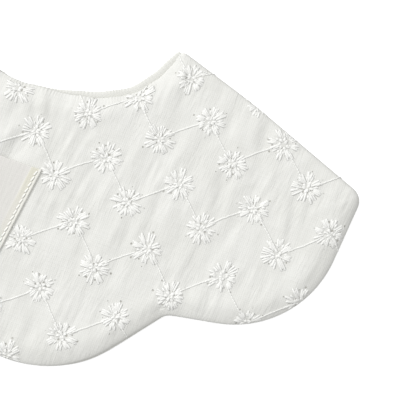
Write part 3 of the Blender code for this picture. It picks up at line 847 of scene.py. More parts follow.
counts = clothValues["backCounts"]
edges = sideEdges(counts, -bibCut["lapHalfWidth"], 1)
overTop = levelAt(clothValues["backTop"])
backClothRight = clothShell(
    "backClothRight", edges, counts, backStations, overTop, overLow, ribRipple, True, "inside", backReach
)
edges = sideEdges(counts, -bibCut["lapHalfWidth"], -1)
backClothLeft = clothShell(
    "backClothLeft", edges, counts, backStations, underTop, underLow, ribRipple, True, "inside", backReach
)
openFlat(backClothRight, 1)
openFlat(backClothLeft, -1)
mesh = bmesh.new()
mesh.from_mesh(backClothLeft.data)
bmesh.ops.scale(mesh, vec=(-1, 1, 1), verts=mesh.verts)
bmesh.ops.reverse_faces(mesh, faces=mesh.faces)
mesh.to_mesh(backClothLeft.data)
mesh.free()
print("back cloth")

# The label's rim
labelStations = (
    (0.3, 5.67, 0, 0, 1.0, 0), (0.16, 5.64, 0, 0, 1.0, 0), (0.06, 5.57, 0, 0, 0.8, 0),
    (0.0, 5.46, 0, 0, 0.5, 0), (0.05, 5.33, 0, 0, 0.3, 0), (0.2, 5.18, 0, 0, 0.1, 0),
    (0.5, 5.12, 0, 0, 0.0, 0),
)


def labelPlace(u, v):  # u from -1 at the left side to 1, v from 0 at the bottom to 1 at the top
    value = labelValues
    dip = value["bottomDip"] + (value["topDip"] - value["bottomDip"]) * v
    y = -(value["sideTop"] + value["height"]) + v * value["height"]
    return np.column_stack([u * value["halfWidth"], y - dip * (1 - np.abs(u) ** value["dipPower"])])


def labelEdges(columns, rows):
    across, up = np.linspace(-1, 1, columns + 1), np.linspace(0, 1, rows + 1)
    left, right = np.full(rows + 1, -1.0), np.full(rows + 1, 1.0)
    return (
        labelPlace(across, np.zeros(columns + 1)), labelPlace(right, up),
        labelPlace(across, np.ones(columns + 1)), labelPlace(left, up),
    )


def labelLow(places):  # the label lies on the broad form of the cloth
    return faceTop + labelValues["lift"] + addCreases(places, swellTable)


def labelHeight(places):
    value = labelValues
    fromSide = value["halfWidth"] - np.abs(places[:, 0])
    hem = 1 - smoothStep((fromSide - value["hemWidth"] + value["hemSoft"]) / (2 * value["hemSoft"]))
    groove = bump(fromSide, value["stitchInset"], value["grooveWidth"])
    lip = value["lipRise"] * bump(fromSide, value["lipInset"], value["lipSpread"])
    rise = value["thickness"] + value["hemRise"] * hem - value["grooveDepth"] * groove + lip
    warp = crinkleValues["warp"]
    (broad, *waves), (fine, *crinkles) = value["waves"], value["crinkles"]
    rise = rise + broad * ripples(places, 51, warp, *waves) * (1 - hem)
    return labelLow(places) + rise + fine * ripples(places, 52, warp, *crinkles)


counts = labelValues["counts"]
labelPatch = clothShell(
    "labelPatch", labelEdges(*counts), counts, labelStations, labelHeight, labelLow, lowGrid=True
)
print("label patch")


threadForm = {
    "segments": (5, 4),  # round the thread, and along it
    "blunt": 6,  # power that keeps its ends full
    "taper": 0.2,
    "endDrop": 0.75,  # share of its height that its ends are pulled down
}


def unitThread():  # one lying stitch of thread, from -1 to 1
    mesh = bmesh.new()
    around, rings = threadForm["segments"]
    bmesh.ops.create_uvsphere(mesh, u_segments=around, v_segments=rings, radius=1.0)
    bmesh.ops.triangulate(mesh, faces=mesh.faces[:])
    points = np.array([(vert.co.z, vert.co.x, vert.co.y) for vert in mesh.verts])
    faces = np.array([[vert.index for vert in face.verts] for face in mesh.faces])
    mesh.free()
    along = np.clip(np.abs(points[:, 0]), 0, 0.99)
    points[:, 1:] *= (np.sqrt(1 - along ** threadForm["blunt"]) / np.sqrt(1 - along ** 2))[:, None]
    points[:, 1] *= 1 + threadForm["taper"] * points[:, 0]
    return points, faces


threadPoints, threadFaces = unitThread()


def layThread(start, end, width, height, lift, drop=threadForm["endDrop"]):
    start, end = np.array(start), np.array(end)
    run = (end - start) / 2
    side = unit(np.array([-run[1], run[0]]))
    x, y, z = threadPoints.T
    flat = (start + end) / 2 + np.outer(x, run) + np.outer(y, side) * width / 2
    return np.column_stack([flat, lift + (z - drop * x * x) * height / 2])


def flowerMotif(seed):  # eight fanned satin petals round a knot of short stitches
    value = embroidery
    random = np.random.default_rng(seed)
    threads = []
    perPetal, perBar = 360 / value["petals"], 360 / value["knotBars"]

    def addThread(angle, root, tip, rootBeside, tipBeside, lift):
        along = np.array([math.cos(angle), math.sin(angle)])
        beside = np.array([-along[1], along[0]])
        size = random.uniform(*value["threadSizes"])
        raised = lift + random.uniform(*value["threadRise"])
        ends = along * root + beside * rootBeside, along * tip + beside * tipBeside
        threads.append(layThread(*ends, value["threadWidth"] * size, value["threadHeight"] * size, raised))

    for petal in range(value["petals"]):
        axis = math.radians(value["turn"] + perPetal * petal + random.uniform(*value["petalTurns"]))
        reach = value["petalReach"] + random.uniform(*value["reachSpan"])
        spread = value["petalSpread"] * random.uniform(*value["spreadShares"])
        notch = value["petalNotch"] * random.uniform(0.0, 1.0)
        sway = random.uniform(*value["petalSway"])
        count = int(random.integers(*value["petalThreads"]))
        for place in np.linspace(-1, 1, count):
            place = place + random.uniform(*value["placeSpan"])
            root = value["petalRoot"] + random.uniform(*value["rootSpan"]) + value["rootStep"] * abs(place)
            tip = reach - notch * (1 - abs(place)) + random.uniform(*value["tipSpan"])
            beside = value["rootSpread"] * place, spread * place + sway
            addThread(axis, root, tip, *beside, value["petalLift"])
    for gap in range(value["petals"]):
        if random.uniform() < value["gapShare"]:
            axis = math.radians(value["turn"] + perPetal * (gap + 0.5) + random.uniform(*value["gapTurns"]))
            root = random.uniform(*value["gapRoots"])
            tip = root + random.uniform(*value["gapLengths"])
            addThread(axis, root, tip, 0.0, random.uniform(*value["gapSway"]), value["gapLift"])
    for bar in range(value["knotBars"]):
        axis = math.radians(perBar * bar + random.uniform(*value["knotTurns"]))
        root = random.uniform(*value["knotRoots"])
        sway = random.uniform(*value["knotSway"])
        for beside in (-value["knotHalf"], value["knotHalf"]):
            tip = root + random.uniform(*value["knotLengths"])
            addThread(axis, root, tip, beside, beside + sway, value["knotLift"])
    return np.array(threads)


onFaceValues = {
    "pastFold": 14.0,  # mm that the folded cloth runs on under the front
    "seamClear": 0.1,  # mm before an open rim's seam where threads end
    "tangentStep": 0.15,
}


def profileRun(insetColumn, heightColumn, last):  # a rim's profile, and how far along it each point lies
    points = np.array(faceStations)[:last + 1][:, [insetColumn, heightColumn]]
    if last == foldEnds:
        points = np.vstack([points, points[-1] + (onFaceValues["pastFold"], 0.0)])
    runs = np.concatenate([[0.0], np.cumsum(np.linalg.norm(np.diff(points, axis=0), axis=1))])
    return runs, points


openRun, openPoints = profileRun(0, 1, openEnds)
foldRun, foldPoints = profileRun(2, 3, foldEnds)
reliefShares = [row[4] for row in faceStations[:openEnds + 1]]


def alongProfile(runs, points, at):  # inset and height there, and which way faces out of the cloth
    inset, height = np.interp(at, runs, points[:, 0]), np.interp(at, runs, points[:, 1])
    step = onFaceValues["tangentStep"]
    ahead = np.interp(at + step, runs, points[:, 0]), np.interp(at + step, runs, points[:, 1])
    behind = np.interp(at - step, runs, points[:, 0]), np.interp(at - step, runs, points[:, 1])
    tangent = np.column_stack([ahead[0] - behind[0], ahead[1] - behind[1]])
    tangent = unit(np.where(np.abs(tangent).sum(axis=1, keepdims=True) < 1e-6, (-1.0, 0.0), tangent))
    return inset, height, tangent[:, 1], -tangent[:, 0]


def onFace(places, lifts):  # points on the front cloth, and which of them its seam doesn't cut off
    distances, feet = frontRim.near(places)
    start = faceStations[0][0]
    eases = frontRim.eases[feet]
    distances = distances / eases
    points = np.column_stack([places, np.zeros(len(places))])
    kept = np.ones(len(places), bool)
    inner = distances >= start
    if inner.any():
        points[inner, 2] = faceHeight(places[inner]) + lifts[inner]
    rim = ~inner
    if rim.any():
        run = start - distances[rim]
        share = frontRim.shares[feet[rim]]
        foot, normal = frontRim.ring[feet[rim]], frontRim.normals[feet[rim]]
        ease = eases[rim][:, None]
        relief = (faceHeight(foot + normal * start * ease) - faceTop) * np.interp(run, openRun, reliefShares)
        insets, heights, insetWays, upWays = alongProfile(openRun, openPoints, run)
        folds = alongProfile(foldRun, foldPoints, run)
        mixed = [a + (b - a) * share for a, b in zip((insets, heights, insetWays, upWays), folds)]
        inset = mixed[0] + mixed[2] * lifts[rim]
        points[rim, :2] = foot + normal * ease * inset[:, None]
        points[rim, 2] = mixed[1] + relief + mixed[3] * lifts[rim]
        kept[rim] = (share > 0.5) | (run < openRun[-1] - onFaceValues["seamClear"])
    points[:, 2] = np.maximum(points[:, 2], aboveTable)
    return points, kept


def onBack(places, lifts):  # points on the underside of the back, from places on the cloth laid open
    side = 1 if places[:, 0].mean() > 0 else -1
    flip = np.array([side, 1.0])
    back = folded(places * flip)
    distances, _ = backRim.near(back)
    low = overLow(back) if side > 0 else underLow(back)
    kept = distances > backThreads["fromRim"]
    kept &= back[:, 0] > -bibCut["lapHalfWidth"] + backThreads["fromCut"]
    if side > 0:
        kept &= back[:, 0] > bibCut["lapHalfWidth"] + backThreads["pastLap"]
    snap = np.linalg.norm(back - (0.0, -snapMiddle), axis=1)
    kept &= snap > backThreads["fromSnap"]
    points = np.column_stack([back * flip, np.maximum(low - lifts, aboveTable)])
    return points, kept


def underLabel(places, margin):
    value = labelValues
    fall = 1 - np.abs(places[:, 0] / value["halfWidth"]) ** value["dipPower"]
    top = -value["sideTop"] - value["topDip"] * fall
    bottom = -value["sideTop"] - value["height"]
    inX = np.abs(places[:, 0]) < value["halfWidth"] - margin
    return inX & (places[:, 1] < top - margin) & (places[:, 1] > bottom + margin)


def joinThreads(name, points, kept, turned=False):  # one mesh of the stitches that are kept whole
    size = len(threadPoints)
    points = points.reshape(-1, size, 3)[kept.reshape(-1, size).all(axis=1)]
    count = len(points)
    faces = (threadFaces[None] + np.arange(count)[:, None, None] * size).reshape(-1, 3)
    if turned:
        faces = faces[:, ::-1]
    places = (points.reshape(-1, 3) + (0, ringMiddle, 0)) * mm
    data = bpy.data.meshes.new(name)
    data.from_pydata(places.tolist(), [], faces.tolist())
    return showMesh(data)


def flowerThreads(keys):
    points = []
    for i, j, k in keys:
        motif = flowerMotif(2000 + i * 53 + j * 7 + k)
        points.append((motif + (*flowers[i, j, k], 0)).reshape(-1, 3))
    points = np.vstack(points)
    return points[:, :2], points[:, 2]


distances, feet = frontRim.near(centres)
pastEdge = np.where(frontRim.shares[feet] < 0.5, embroidery["pastRim"], embroidery["pastFold"])
onFront = np.flatnonzero(distances > -pastEdge)
threadPieces = []
for side, name in ((1, "flowersFrontRight"), (-1, "flowersFrontLeft")):
    places, lifts = flowerThreads([keys[index] for index in onFront if centres[index, 0] * side > 0])
    points, kept = onFace(places, lifts)
    threadPieces.append(joinThreads(name, points, kept & ~underLabel(places, labelValues["overThreads"][0])))


def chainThreads(first, second, seed):  # the thin run of stitches between two flowers
    value = chainValues
    random = np.random.default_rng(seed)
    run = second - first
    length = np.linalg.norm(run)
    along = run / length
    beside = np.array([-along[1], along[0]])
    bow = random.uniform(*value["bow"])
    count = max(3, round((length - value["clear"]) / value["stitch"]))
    at = np.linspace(value["fromFirst"], length - value["toSecond"], count + 1)
    drift = bow * np.sin(math.pi * at / length) + random.uniform(*value["drift"], count + 1)
    stops = first + np.outer(at, along) + np.outer(drift, beside)
    stitches = []
    for start, end in zip(stops, stops[1:]):
        over = (end - start) * value["overlap"]
        shift = beside * random.uniform(*value["beside"])
        for side in (-1, 1):
            ends = start - over + side * shift, end + over - side * shift
            width = random.uniform(*value["widths"])
            stitches.append(layThread(*ends, width, value["height"], value["lift"], value["endDrop"]))
    return np.array(stitches).reshape(-1, 3)


def chainPairs():
    for (i, j, k), place in flowers.items():
        follower = (i, j, 1) if k == 0 else (i + 1, j, 0)
        if follower in flowers:
            yield i * 31 + j * 7 + k, place, flowers[follower]


chains = []
for seed, first, second in chainPairs():
    middle = (first + second) / 2
    if frontRim.near(middle[None])[0][0] > -chainValues["pastRim"]:
        chains.append(chainThreads(first, second, 500 + seed))
points = np.vstack(chains)
placed, kept = onFace(points[:, :2], points[:, 2])
kept &= ~underLabel(points[:, :2], labelValues["overThreads"][1])
threadPieces.append(joinThreads("chainsFront", placed, kept))
print("front embroidery")


def pastFold(places, side):  # whether all of them lie far enough beyond a shoulder to be on the back
    past = (places * (side, 1.0) - foldMiddle) @ shoulderOut
    return past.min() > clothValues["foldAllowance"] + backThreads["pastFold"]


backKeys, backChains = {1: [], -1: []}, {1: [], -1: []}
for key, place in flowers.items():
    side = 1 if place[0] > 0 else -1
    if pastFold(place[None], side):
        back = folded((place * (side, 1.0))[None])
        onCloth = backRim.near(back)[0][0] > -backThreads["pastRim"]
        if onCloth and back[0, 0] > -bibCut["lapHalfWidth"]:
            backKeys[side].append(key)
for seed, first, second in chainPairs():
    side = 1 if first[0] > 0 else -1
    ends = np.array([first, second])
    if first[0] * second[0] >= 0 and pastFold(ends, side) and folded(ends * (side, 1.0))[:, 0].max() > 0:
        backChains[side].append(chainThreads(first, second, 900 + seed))
for side, name in ((1, "flowersBackRight"), (-1, "flowersBackLeft")):
    points, kept = onBack(*flowerThreads(backKeys[side]))
    threadPieces.append(joinThreads(name, points, kept, turned=side > 0))
for side, name in ((1, "chainsBackRight"), (-1, "chainsBackLeft")):
    points = np.vstack(backChains[side])
    placed, kept = onBack(points[:, :2], points[:, 2])
    threadPieces.append(joinThreads(name, placed, kept, turned=side > 0))
print("back embroidery")


goldenShare = 0.618034  # numbers the flowers so that neighbours differ


# Each face of the cloth keeps how far its corners lie from the nearest flower's middle, so that the
# needle holes fall between the petals and at their tips
def addFlowerPlaces(piece):
    data = piece.data
    flat = flatArray(data)[:, :2]
    loopVerts = np.empty(len(data.loops), int)
    data.loops.foreach_get("vertex_index", loopVerts)
    starts, totals = np.empty(len(data.polygons), int), np.empty(len(data.polygons), int)
    data.polygons.foreach_get("loop_start", starts)
    data.polygons.foreach_get("loop_total", totals)
    corners = flat[loopVerts]
    middles = np.add.reduceat(corners, starts) / totals[:, None]
    nearest = np.repeat(nearestIn(flowerTree, middles), totals)
    offsets = corners - centres[nearest]
    number = (nearest * goldenShare) % 1.0
    attribute = data.attributes.new("flowerPlace", "FLOAT_VECTOR", "CORNER")
    attribute.data.foreach_set("vector", np.column_stack([offsets, number]).ravel())


for piece in (frontCloth, backClothRight, backClothLeft):
    addFlowerPlaces(piece)


def labelStitches():
    value = labelValues
    count = int((value["height"] - value["seamShort"]) / value["stitchPitch"])
    bottom = -value["sideTop"] - value["height"]
    points = []
    random = np.random.default_rng(77)
    for side in (-1, 1):
        x = side * (value["halfWidth"] - value["stitchInset"])
        for index in range(count + 1):
            y = -value["sideTop"] - value["seamFromTop"] - index * value["stitchPitch"]
            y = y - random.uniform(*value["stitchSpans"][0])
            low = y - value["stitchLength"]
            if low < bottom + value["seamClear"]:
                continue
            slant = value["stitchSlant"] / 2 + random.uniform(*value["stitchSpans"][1])
            ends = (x + slant, y), (x - slant, low)
            sizes = value["stitchWidth"], value["stitchHeight"], value["stitchLift"]
            points.append(layThread(*ends, *sizes))
    points = np.array(points).reshape(-1, 3)
    heights = labelHeight(points[:, :2]) + points[:, 2]
    placed = np.column_stack([points[:, :2], heights])
    return joinThreads("labelStitches", placed, np.ones(len(placed), bool))


stitches = labelStitches()


# The snap: a spun resin cap with a rolled rim and a small dimple
snapValues = {
    "steps": 64,
    "profile": (  # mm from the axis and above the table
        (0.0, 0.42), (0.7, 0.40), (1.2, 0.24), (1.8, 0.16), (3.0, 0.10), (3.9, 0.02), (4.3, 0.0),
        (4.65, 0.06), (4.9, 0.22), (5.0, 0.45), (5.0, 0.8), (4.85, 0.98), (0.0, 1.0),
    ),
}


def buildSnap():
    mesh = bmesh.new()
    verts = [mesh.verts.new((x, 0, z)) for x, z in snapValues["profile"]]
    edges = [mesh.edges.new(pair) for pair in zip(verts, verts[1:])]
    bmesh.ops.spin(
        mesh, geom=verts + edges, axis=(0, 0, 1), cent=(0, 0, 0), angle=math.tau, steps=snapValues["steps"],
        use_merge=True,
    )
    bmesh.ops.remove_doubles(mesh, verts=mesh.verts, dist=0.001)
    bmesh.ops.recalc_face_normals(mesh, faces=mesh.faces)
    bmesh.ops.translate(mesh, vec=(0, -snapMiddle, 0), verts=mesh.verts)
    return finished("snapCap", mesh)


snapCap = buildSnap()
print("label stitches and snap")


def hexColour(code):  # sRGB hex to linear
    values = [int(code[start:start + 2], 16) / 255 for start in (0, 2, 4)]
    return tuple(v / 12.92 if v <= 0.04045 else ((v + 0.055) / 1.055) ** 2.4 for v in values) + (1.0,)


def addNode(tree, kind, inputs=None, **settings):  # an input is a value, a socket or a node's first output
    node = tree.nodes.new("ShaderNode" + kind)
    for name, value in settings.items():
        setattr(node, name, value)
    for socket, value in (inputs or {}).items():
        if isinstance(value, bpy.types.Node):
            value = value.outputs[0]
        if isinstance(value, bpy.types.NodeSocket):
            tree.links.new(value, node.inputs[socket])
        else:
            node.inputs[socket].default_value = value
    return node


def newMaterial(name, colour, roughness, sheen):
    material = bpy.data.materials.new(name)
    material.use_nodes = True
    shader = material.node_tree.nodes["Principled BSDF"]
    shader.inputs["Base Color"].default_value = hexColour(colour)
    shader.inputs["Roughness"].default_value = roughness
    shader.inputs["Sheen Weight"].default_value = sheen
    shader.inputs["Sheen Roughness"].default_value = 0.5
    shader.inputs["IOR"].default_value = 1.5
    return material, material.node_tree, shader


clothColours = {
    "voile": ("deded9", "e5e5e1"),  # the shaded and the light tone of the weave
    # hole: painted shade, the darkness seen inside a needle hole
    "hole": "b2b0a8",
    "lining": ("dbdbd5", "e1e1dc"),
    "label": ("d8d7d2", "dedcd8"),
    "hem": "d9d7c9",
    # lip: painted highlight where the hem's fold catches the light
    "lip": "edece5",
    "thread": "f4f4f1",
    "threadShade": "e9e9e5",
    "stitch": "faf9f2",
    "snap": "e6e5df",
    "floor": "ffffff",
}
weaveValues = {
    "pitch": 0.75,  # mm between yarns; the real ones, 0.3 mm apart, are too fine to show
    "grain": 8.5,  # degrees that the weft is turned from the bib's width
    "slubWidth": 0.7,
    "slubLength": 5.5,
    "slubDetail": 3.0,
    "streaks": (0.09, 1.1, 1),  # for each mm, of long faint bands
    "yarnShare": 0.2,
    "yarnWaver": 1.2,
    "yarnWaverScale": 0.6,
    "clouds": 0.05,  # for each mm, of broad tones
    "slubTone": 0.6,
    "toneSpan": (0.8, 1.4),
    "crinkleWidth": 2.0,  # mm between the sharp little creases that washing leaves along the warp
    "crinkleLength": 11.0,
    "crinkleDetail": 2.5,
    "crinkleSharp": 0.14,  # of the noise's span that a crease takes up
    "crinkleShares": (0.1, 0.55),  # its depth outside and inside the creased patches
    "patches": 0.07,  # for each mm
    "patchSpan": (0.35, 0.65),
}
surfaces = {  # roughness, sheen, and the depth of the weave in mm
    "voile": (0.95, 0.1, 0.10),
    "lining": (0.95, 0.2, 0.08),
    "label": (0.93, 0.2, 0.07),
    "thread": (0.6, 0.3),
    "snap": (0.35, 0.0),
    "floor": (0.9, 0.0),
}
holeValues = {
    "sizes": (0.02, 0.75),  # mm where there is no hole, and the share of a ring's own size
    "edge": (0.6, 1.25),  # of its radius, over which a hole's tone fades
    "pit": 0.25,  # mm
}
fibreValues = {
    "size": 0.5,  # mm
    "depth": 0.03,
    "tint": (0.3, 0.7),
}
resinValues = {
    "refraction": 1.48,
    "clouds": 1.5,  # mm
    "depth": 0.01,
    "strength": 0.4,
}
holeRings = (  # cells in the ring, mm from the middle, mm across, degrees, share of the cells without a hole
    (8, 1.9, 0.85, 8.5, 0.25), (8, 4.7, 0.62, 8.5, 0.45), (8, 6.9, 0.6, 31.0, 0.55),
)


def addCrinkles(tree, vector, relief):  # sharp little creases where a stretched noise crosses its middle
    value = weaveValues
    turn = math.radians(90 - crinkleValues["warp"])
    along = addNode(tree, "Mapping", {"Vector": vector, "Rotation": (0, 0, turn)})
    scale = (1 / value["crinkleWidth"], 1 / value["crinkleLength"], 1)
    stretched = addNode(tree, "Mapping", {"Vector": along, "Scale": scale})
    detail = value["crinkleDetail"]
    noise = addNode(tree, "TexNoise", {"Vector": stretched, "Scale": 1.0, "Detail": detail})
    fromMiddle = addNode(tree, "Math", {0: noise, 1: 0.5}, operation="SUBTRACT")
    away = addNode(tree, "Math", {0: fromMiddle}, operation="ABSOLUTE")
    sharp = {"From Max": value["crinkleSharp"], "To Min": 1.0, "To Max": 0.0}
    lines = addNode(tree, "MapRange", {"Value": away, **sharp}, interpolation_type="SMOOTHSTEP")
    patches = addNode(tree, "TexNoise", {"Vector": vector, "Scale": value["patches"], "Detail": 1.0})
    (low, high), (least, most) = value["patchSpan"], value["crinkleShares"]
    shares = {"From Min": low, "From Max": high, "To Min": least, "To Max": most}
    strength = addNode(tree, "MapRange", {"Value": patches, **shares})
    return addNode(tree, "Math", {0: lines, 1: strength, 2: relief}, operation="MULTIPLY_ADD")


# Plain weave: uneven warp and weft yarns as shallow ridges, and slubs as faint streaks
def addWeave(tree, shader, vector, colours, depth, crinkled=False):
    value = weaveValues
    grain = (0, 0, math.radians(-value["grain"]))
    turned = addNode(tree, "Mapping", {"Vector": vector, "Rotation": grain})
    waves = []
    yarn = {"Scale": math.pi / 10 / value["pitch"], "Distortion": value["yarnWaver"], "Detail": 1.0}
    yarn["Detail Scale"] = value["yarnWaverScale"]
    for direction in ("X", "Y"):
        wave = addNode(tree, "TexWave", {"Vector": turned, **yarn}, bands_direction=direction)
        waves.append(wave.outputs["Fac"])
    streaks = []
    for scale in ((1 / value["slubWidth"], 1 / value["slubLength"], 1), value["streaks"]):
        stretched = addNode(tree, "Mapping", {"Vector": turned, "Scale": scale})
        faint = {"Vector": stretched, "Scale": 1.0, "Detail": value["slubDetail"]}
        streaks.append(addNode(tree, "TexNoise", faint))
    yarns = addNode(tree, "Math", {0: waves[0], 1: waves[1]}, operation="ADD")
    slubs = addNode(tree, "Math", {0: streaks[0], 1: streaks[1]}, operation="ADD")
    relief = addNode(tree, "Math", {0: yarns, 1: value["yarnShare"], 2: slubs}, operation="MULTIPLY_ADD")
    if crinkled:
        relief = addCrinkles(tree, vector, relief)
    clouds = addNode(tree, "TexNoise", {"Vector": vector, "Scale": value["clouds"], "Detail": 2.0})
    mixed = addNode(tree, "Math", {0: slubs, 1: value["slubTone"], 2: clouds}, operation="MULTIPLY_ADD")
    low, high = value["toneSpan"]
    tone = addNode(tree, "MapRange", {"Value": mixed, "From Min": low, "From Max": high})
    tones = {0: tone, 6: hexColour(colours[0]), 7: hexColour(colours[1])}
    colour = addNode(tree, "Mix", tones, data_type="RGBA").outputs[2]
    bump = addNode(tree, "Bump", {"Height": relief, "Strength": 1.0, "Distance": depth * mm})
    tree.links.new(bump.outputs[0], shader.inputs["Normal"])
    tree.links.new(colour, shader.inputs["Base Color"])
    return colour, bump


# Needle holes: each is a real shallow pit in the bump, and its dark tone is painted shade
def addHoles(tree, shader, colour, bump):  # needle holes, in rings of cells round each flower's middle
    place = addNode(tree, "Attribute", attribute_name="flowerPlace")
    x, y, number = addNode(tree, "SeparateXYZ", {0: place.outputs["Vector"]}).outputs
    flat = addNode(tree, "CombineXYZ", {0: x, 1: y})
    radius = addNode(tree, "VectorMath", {0: flat}, operation="LENGTH").outputs["Value"]
    angle = addNode(tree, "Math", {0: y, 1: x}, operation="ARCTAN2")
    mask = None
    (least, share), (inner, outer) = holeValues["sizes"], holeValues["edge"]
    for count, ring, size, start, whole in holeRings:
        perTurn = {1: count / math.tau, 2: -start * count / 360}
        turns = addNode(tree, "Math", {0: angle, **perTurn}, operation="MULTIPLY_ADD")
        cell = addNode(tree, "Math", {0: turns}, operation="FLOOR")
        inCell = addNode(tree, "Math", {0: turns}, operation="FRACT")
        dice = addNode(tree, "CombineXYZ", {0: cell, 1: number, 2: ring})
        noise = addNode(tree, "TexWhiteNoise", {"Vector": dice}, noise_dimensions="3D")
        perCell = {1: math.tau / count, 2: -math.pi / count}
        turn = addNode(tree, "Math", {0: inCell, **perCell}, operation="MULTIPLY_ADD")
        cosine = addNode(tree, "Math", {0: turn}, operation="COSINE")
        sine = addNode(tree, "Math", {0: turn}, operation="SINE")
        outward = addNode(tree, "Math", {0: radius, 1: cosine}, operation="MULTIPLY")
        sideways = addNode(tree, "Math", {0: radius, 1: sine}, operation="MULTIPLY")
        away = addNode(tree, "MapRange", {"Value": noise, "To Min": ring - 0.5, "To Max": ring + 0.5})
        short = addNode(tree, "Math", {0: outward, 1: away}, operation="SUBTRACT")
        offset = addNode(tree, "CombineXYZ", {0: short, 1: sideways})
        distance = addNode(tree, "VectorMath", {0: offset}, operation="LENGTH").outputs["Value"]
        split = addNode(tree, "SeparateColor", {0: noise.outputs["Color"]})
        sizes = {"From Min": whole, "To Min": least, "To Max": size * share}
        reach = addNode(tree, "MapRange", {"Value": split.outputs[1], **sizes})
        inside = addNode(tree, "Math", {0: distance, 1: reach}, operation="DIVIDE")
        soft = {"From Min": inner, "From Max": outer, "To Min": 1.0, "To Max": 0.0}
        hole = addNode(tree, "MapRange", {"Value": inside, **soft}, interpolation_type="SMOOTHSTEP")
        mask = hole if mask is None else addNode(tree, "Math", {0: mask, 1: hole}, operation="MAXIMUM")
    # painted shade: the holes' mask darkens the cloth's colour towards the hole tone
    tones = {0: mask, 6: colour, 7: hexColour(clothColours["hole"])}
    paintedHoleShade = addNode(tree, "Mix", tones, data_type="RGBA").outputs[2]
    pit = {"Height": mask, "Normal": bump, "Strength": 1.0, "Distance": holeValues["pit"] * mm}
    tree.links.new(paintedHoleShade, shader.inputs["Base Color"])
    tree.links.new(addNode(tree, "Bump", pit, invert=True).outputs[0], shader.inputs["Normal"])


def wovenCloth(name, kind, crinkled=False):
    roughness, sheen, depth = surfaces[kind]
    material, tree, shader = newMaterial(name, clothColours[kind][1], roughness, sheen)
    vector = addNode(tree, "Attribute", attribute_name="flatPlace").outputs["Vector"]
    colour, bump = addWeave(tree, shader, vector, clothColours[kind], depth, crinkled)
    return material, tree, shader, vector, colour, bump


def makeVoile():  # washed cotton voile: matt white with a soft nap, a visible weave and faint streaks
    material, tree, shader, _, colour, bump = wovenCloth("washedCottonVoile", "voile", True)
    addHoles(tree, shader, colour, bump)
    return material


def makeLining():  # unbleached cotton lawn: a cream, closely woven lining
    return wovenCloth("unbleachedCottonLawn", "lining")[0]


# the hem's cream is the tape's own colour; the brighter fold is a painted highlight
def makeLabel():  # plain cotton tape, pressed flat, its turned hem creamier and the hem's fold brighter
    material, tree, shader, vector, latest, _ = wovenCloth("pressedCottonTape", "label")
    value = labelValues
    x, y, _ = addNode(tree, "SeparateXYZ", {0: vector}).outputs
    away = addNode(tree, "Math", {0: x}, operation="ABSOLUTE")
    faded, full = (-value["sideTop"] - below for below in value["hemFade"])
    fades = {"From Min": faded, "From Max": full, "To Min": value["hemFaint"]}
    fading = addNode(tree, "MapRange", {"Value": y, **fades}, interpolation_type="SMOOTHSTEP")
    # the hem band is the tape's colour, the lip band a painted highlight along the fold
    for name, width, strength in (("hem", value["hemWidth"], fading), ("lip", value["lipHighlightWidth"], None)):
        edge = value["halfWidth"] - width
        soft = {"From Min": edge - value["bandSoft"], "From Max": edge + value["bandSoft"]}
        band = addNode(tree, "MapRange", {"Value": away, **soft}, interpolation_type="SMOOTHSTEP")
        if strength:
            band = addNode(tree, "Math", {0: band, 1: strength}, operation="MULTIPLY")
        tones = {0: band, 6: latest, 7: hexColour(clothColours[name])}
        latest = addNode(tree, "Mix", tones, data_type="RGBA").outputs[2]
    tree.links.new(latest, shader.inputs["Base Color"])
    return material


def makeThread(name, colour):  # mercerised cotton thread: brighter than the cloth, with a slight lustre
    material, tree, shader = newMaterial(name, colour, *surfaces["thread"])
    value = fibreValues
    place = addNode(tree, "TexCoord").outputs["Object"]
    fibre = addNode(tree, "TexNoise", {"Vector": place, "Scale": 1 / (value["size"] * mm), "Detail": 2.0})
    low, high = value["tint"]
    tint = addNode(tree, "MapRange", {"Value": fibre, "From Min": low, "From Max": high})
    tones = {0: tint, 6: hexColour(clothColours["threadShade"]), 7: hexColour(colour)}
    shade = addNode(tree, "Mix", tones, data_type="RGBA").outputs[2]
    bump = addNode(tree, "Bump", {"Height": fibre, "Strength": 1.0, "Distance": value["depth"] * mm})
    tree.links.new(shade, shader.inputs["Base Color"])
    tree.links.new(bump.outputs[0], shader.inputs["Normal"])
    return material


def makeSnapResin():  # moulded acetal: smooth, a little glossy, with faint moulding clouds
    material, tree, shader = newMaterial("mouldedAcetal", clothColours["snap"], *surfaces["snap"])
    value = resinValues
    shader.inputs["IOR"].default_value = value["refraction"]
    place = addNode(tree, "TexCoord").outputs["Object"]
    clouds = addNode(tree, "TexNoise", {"Vector": place, "Scale": 1 / (value["clouds"] * mm), "Detail": 2.0})
    relief = {"Height": clouds, "Strength": value["strength"], "Distance": value["depth"] * mm}
    bump = addNode(tree, "Bump", relief)
    tree.links.new(bump.outputs[0], shader.inputs["Normal"])
    return material


voile = makeVoile()
lining = makeLining()
threadMaterial = makeThread("mercerisedCottonThread", clothColours["thread"])
stitchMaterial = makeThread("creamSewingThread", clothColours["stitch"])
frontCloth.data.materials.append(voile)
frontLining.data.materials.append(lining)
labelPatch.data.materials.append(makeLabel())
stitches.data.materials.append(stitchMaterial)
snapCap.data.materials.append(makeSnapResin())
for piece in threadPieces:
    piece.data.materials.append(threadMaterial)
for piece in (backClothRight, backClothLeft):
    piece.data.materials.append(voile)
    piece.data.materials.append(lining)
    for face in piece.data.polygons:
        face.material_index = int(face.center.z > clothValues["liningFrom"] * mm)
print("materials")

replacedNodes = {
    frontCloth: ("front_face", "embroidered_cotton"),
    frontLining: ("front_lining", "plain_cotton"),
    backClothRight: ("back_right", "back_cotton"),
    backClothLeft: ("back_left", "back_cotton"),
    labelPatch: ("label_patch", "label_cotton"),
    snapCap: ("back_snap_cap", "snap_resin"),
}
for piece, (node, slot) in replacedNodes.items():
    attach(piece, "root")
    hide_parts(node)
for piece in threadPieces + [stitches]:
    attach(piece, "root")

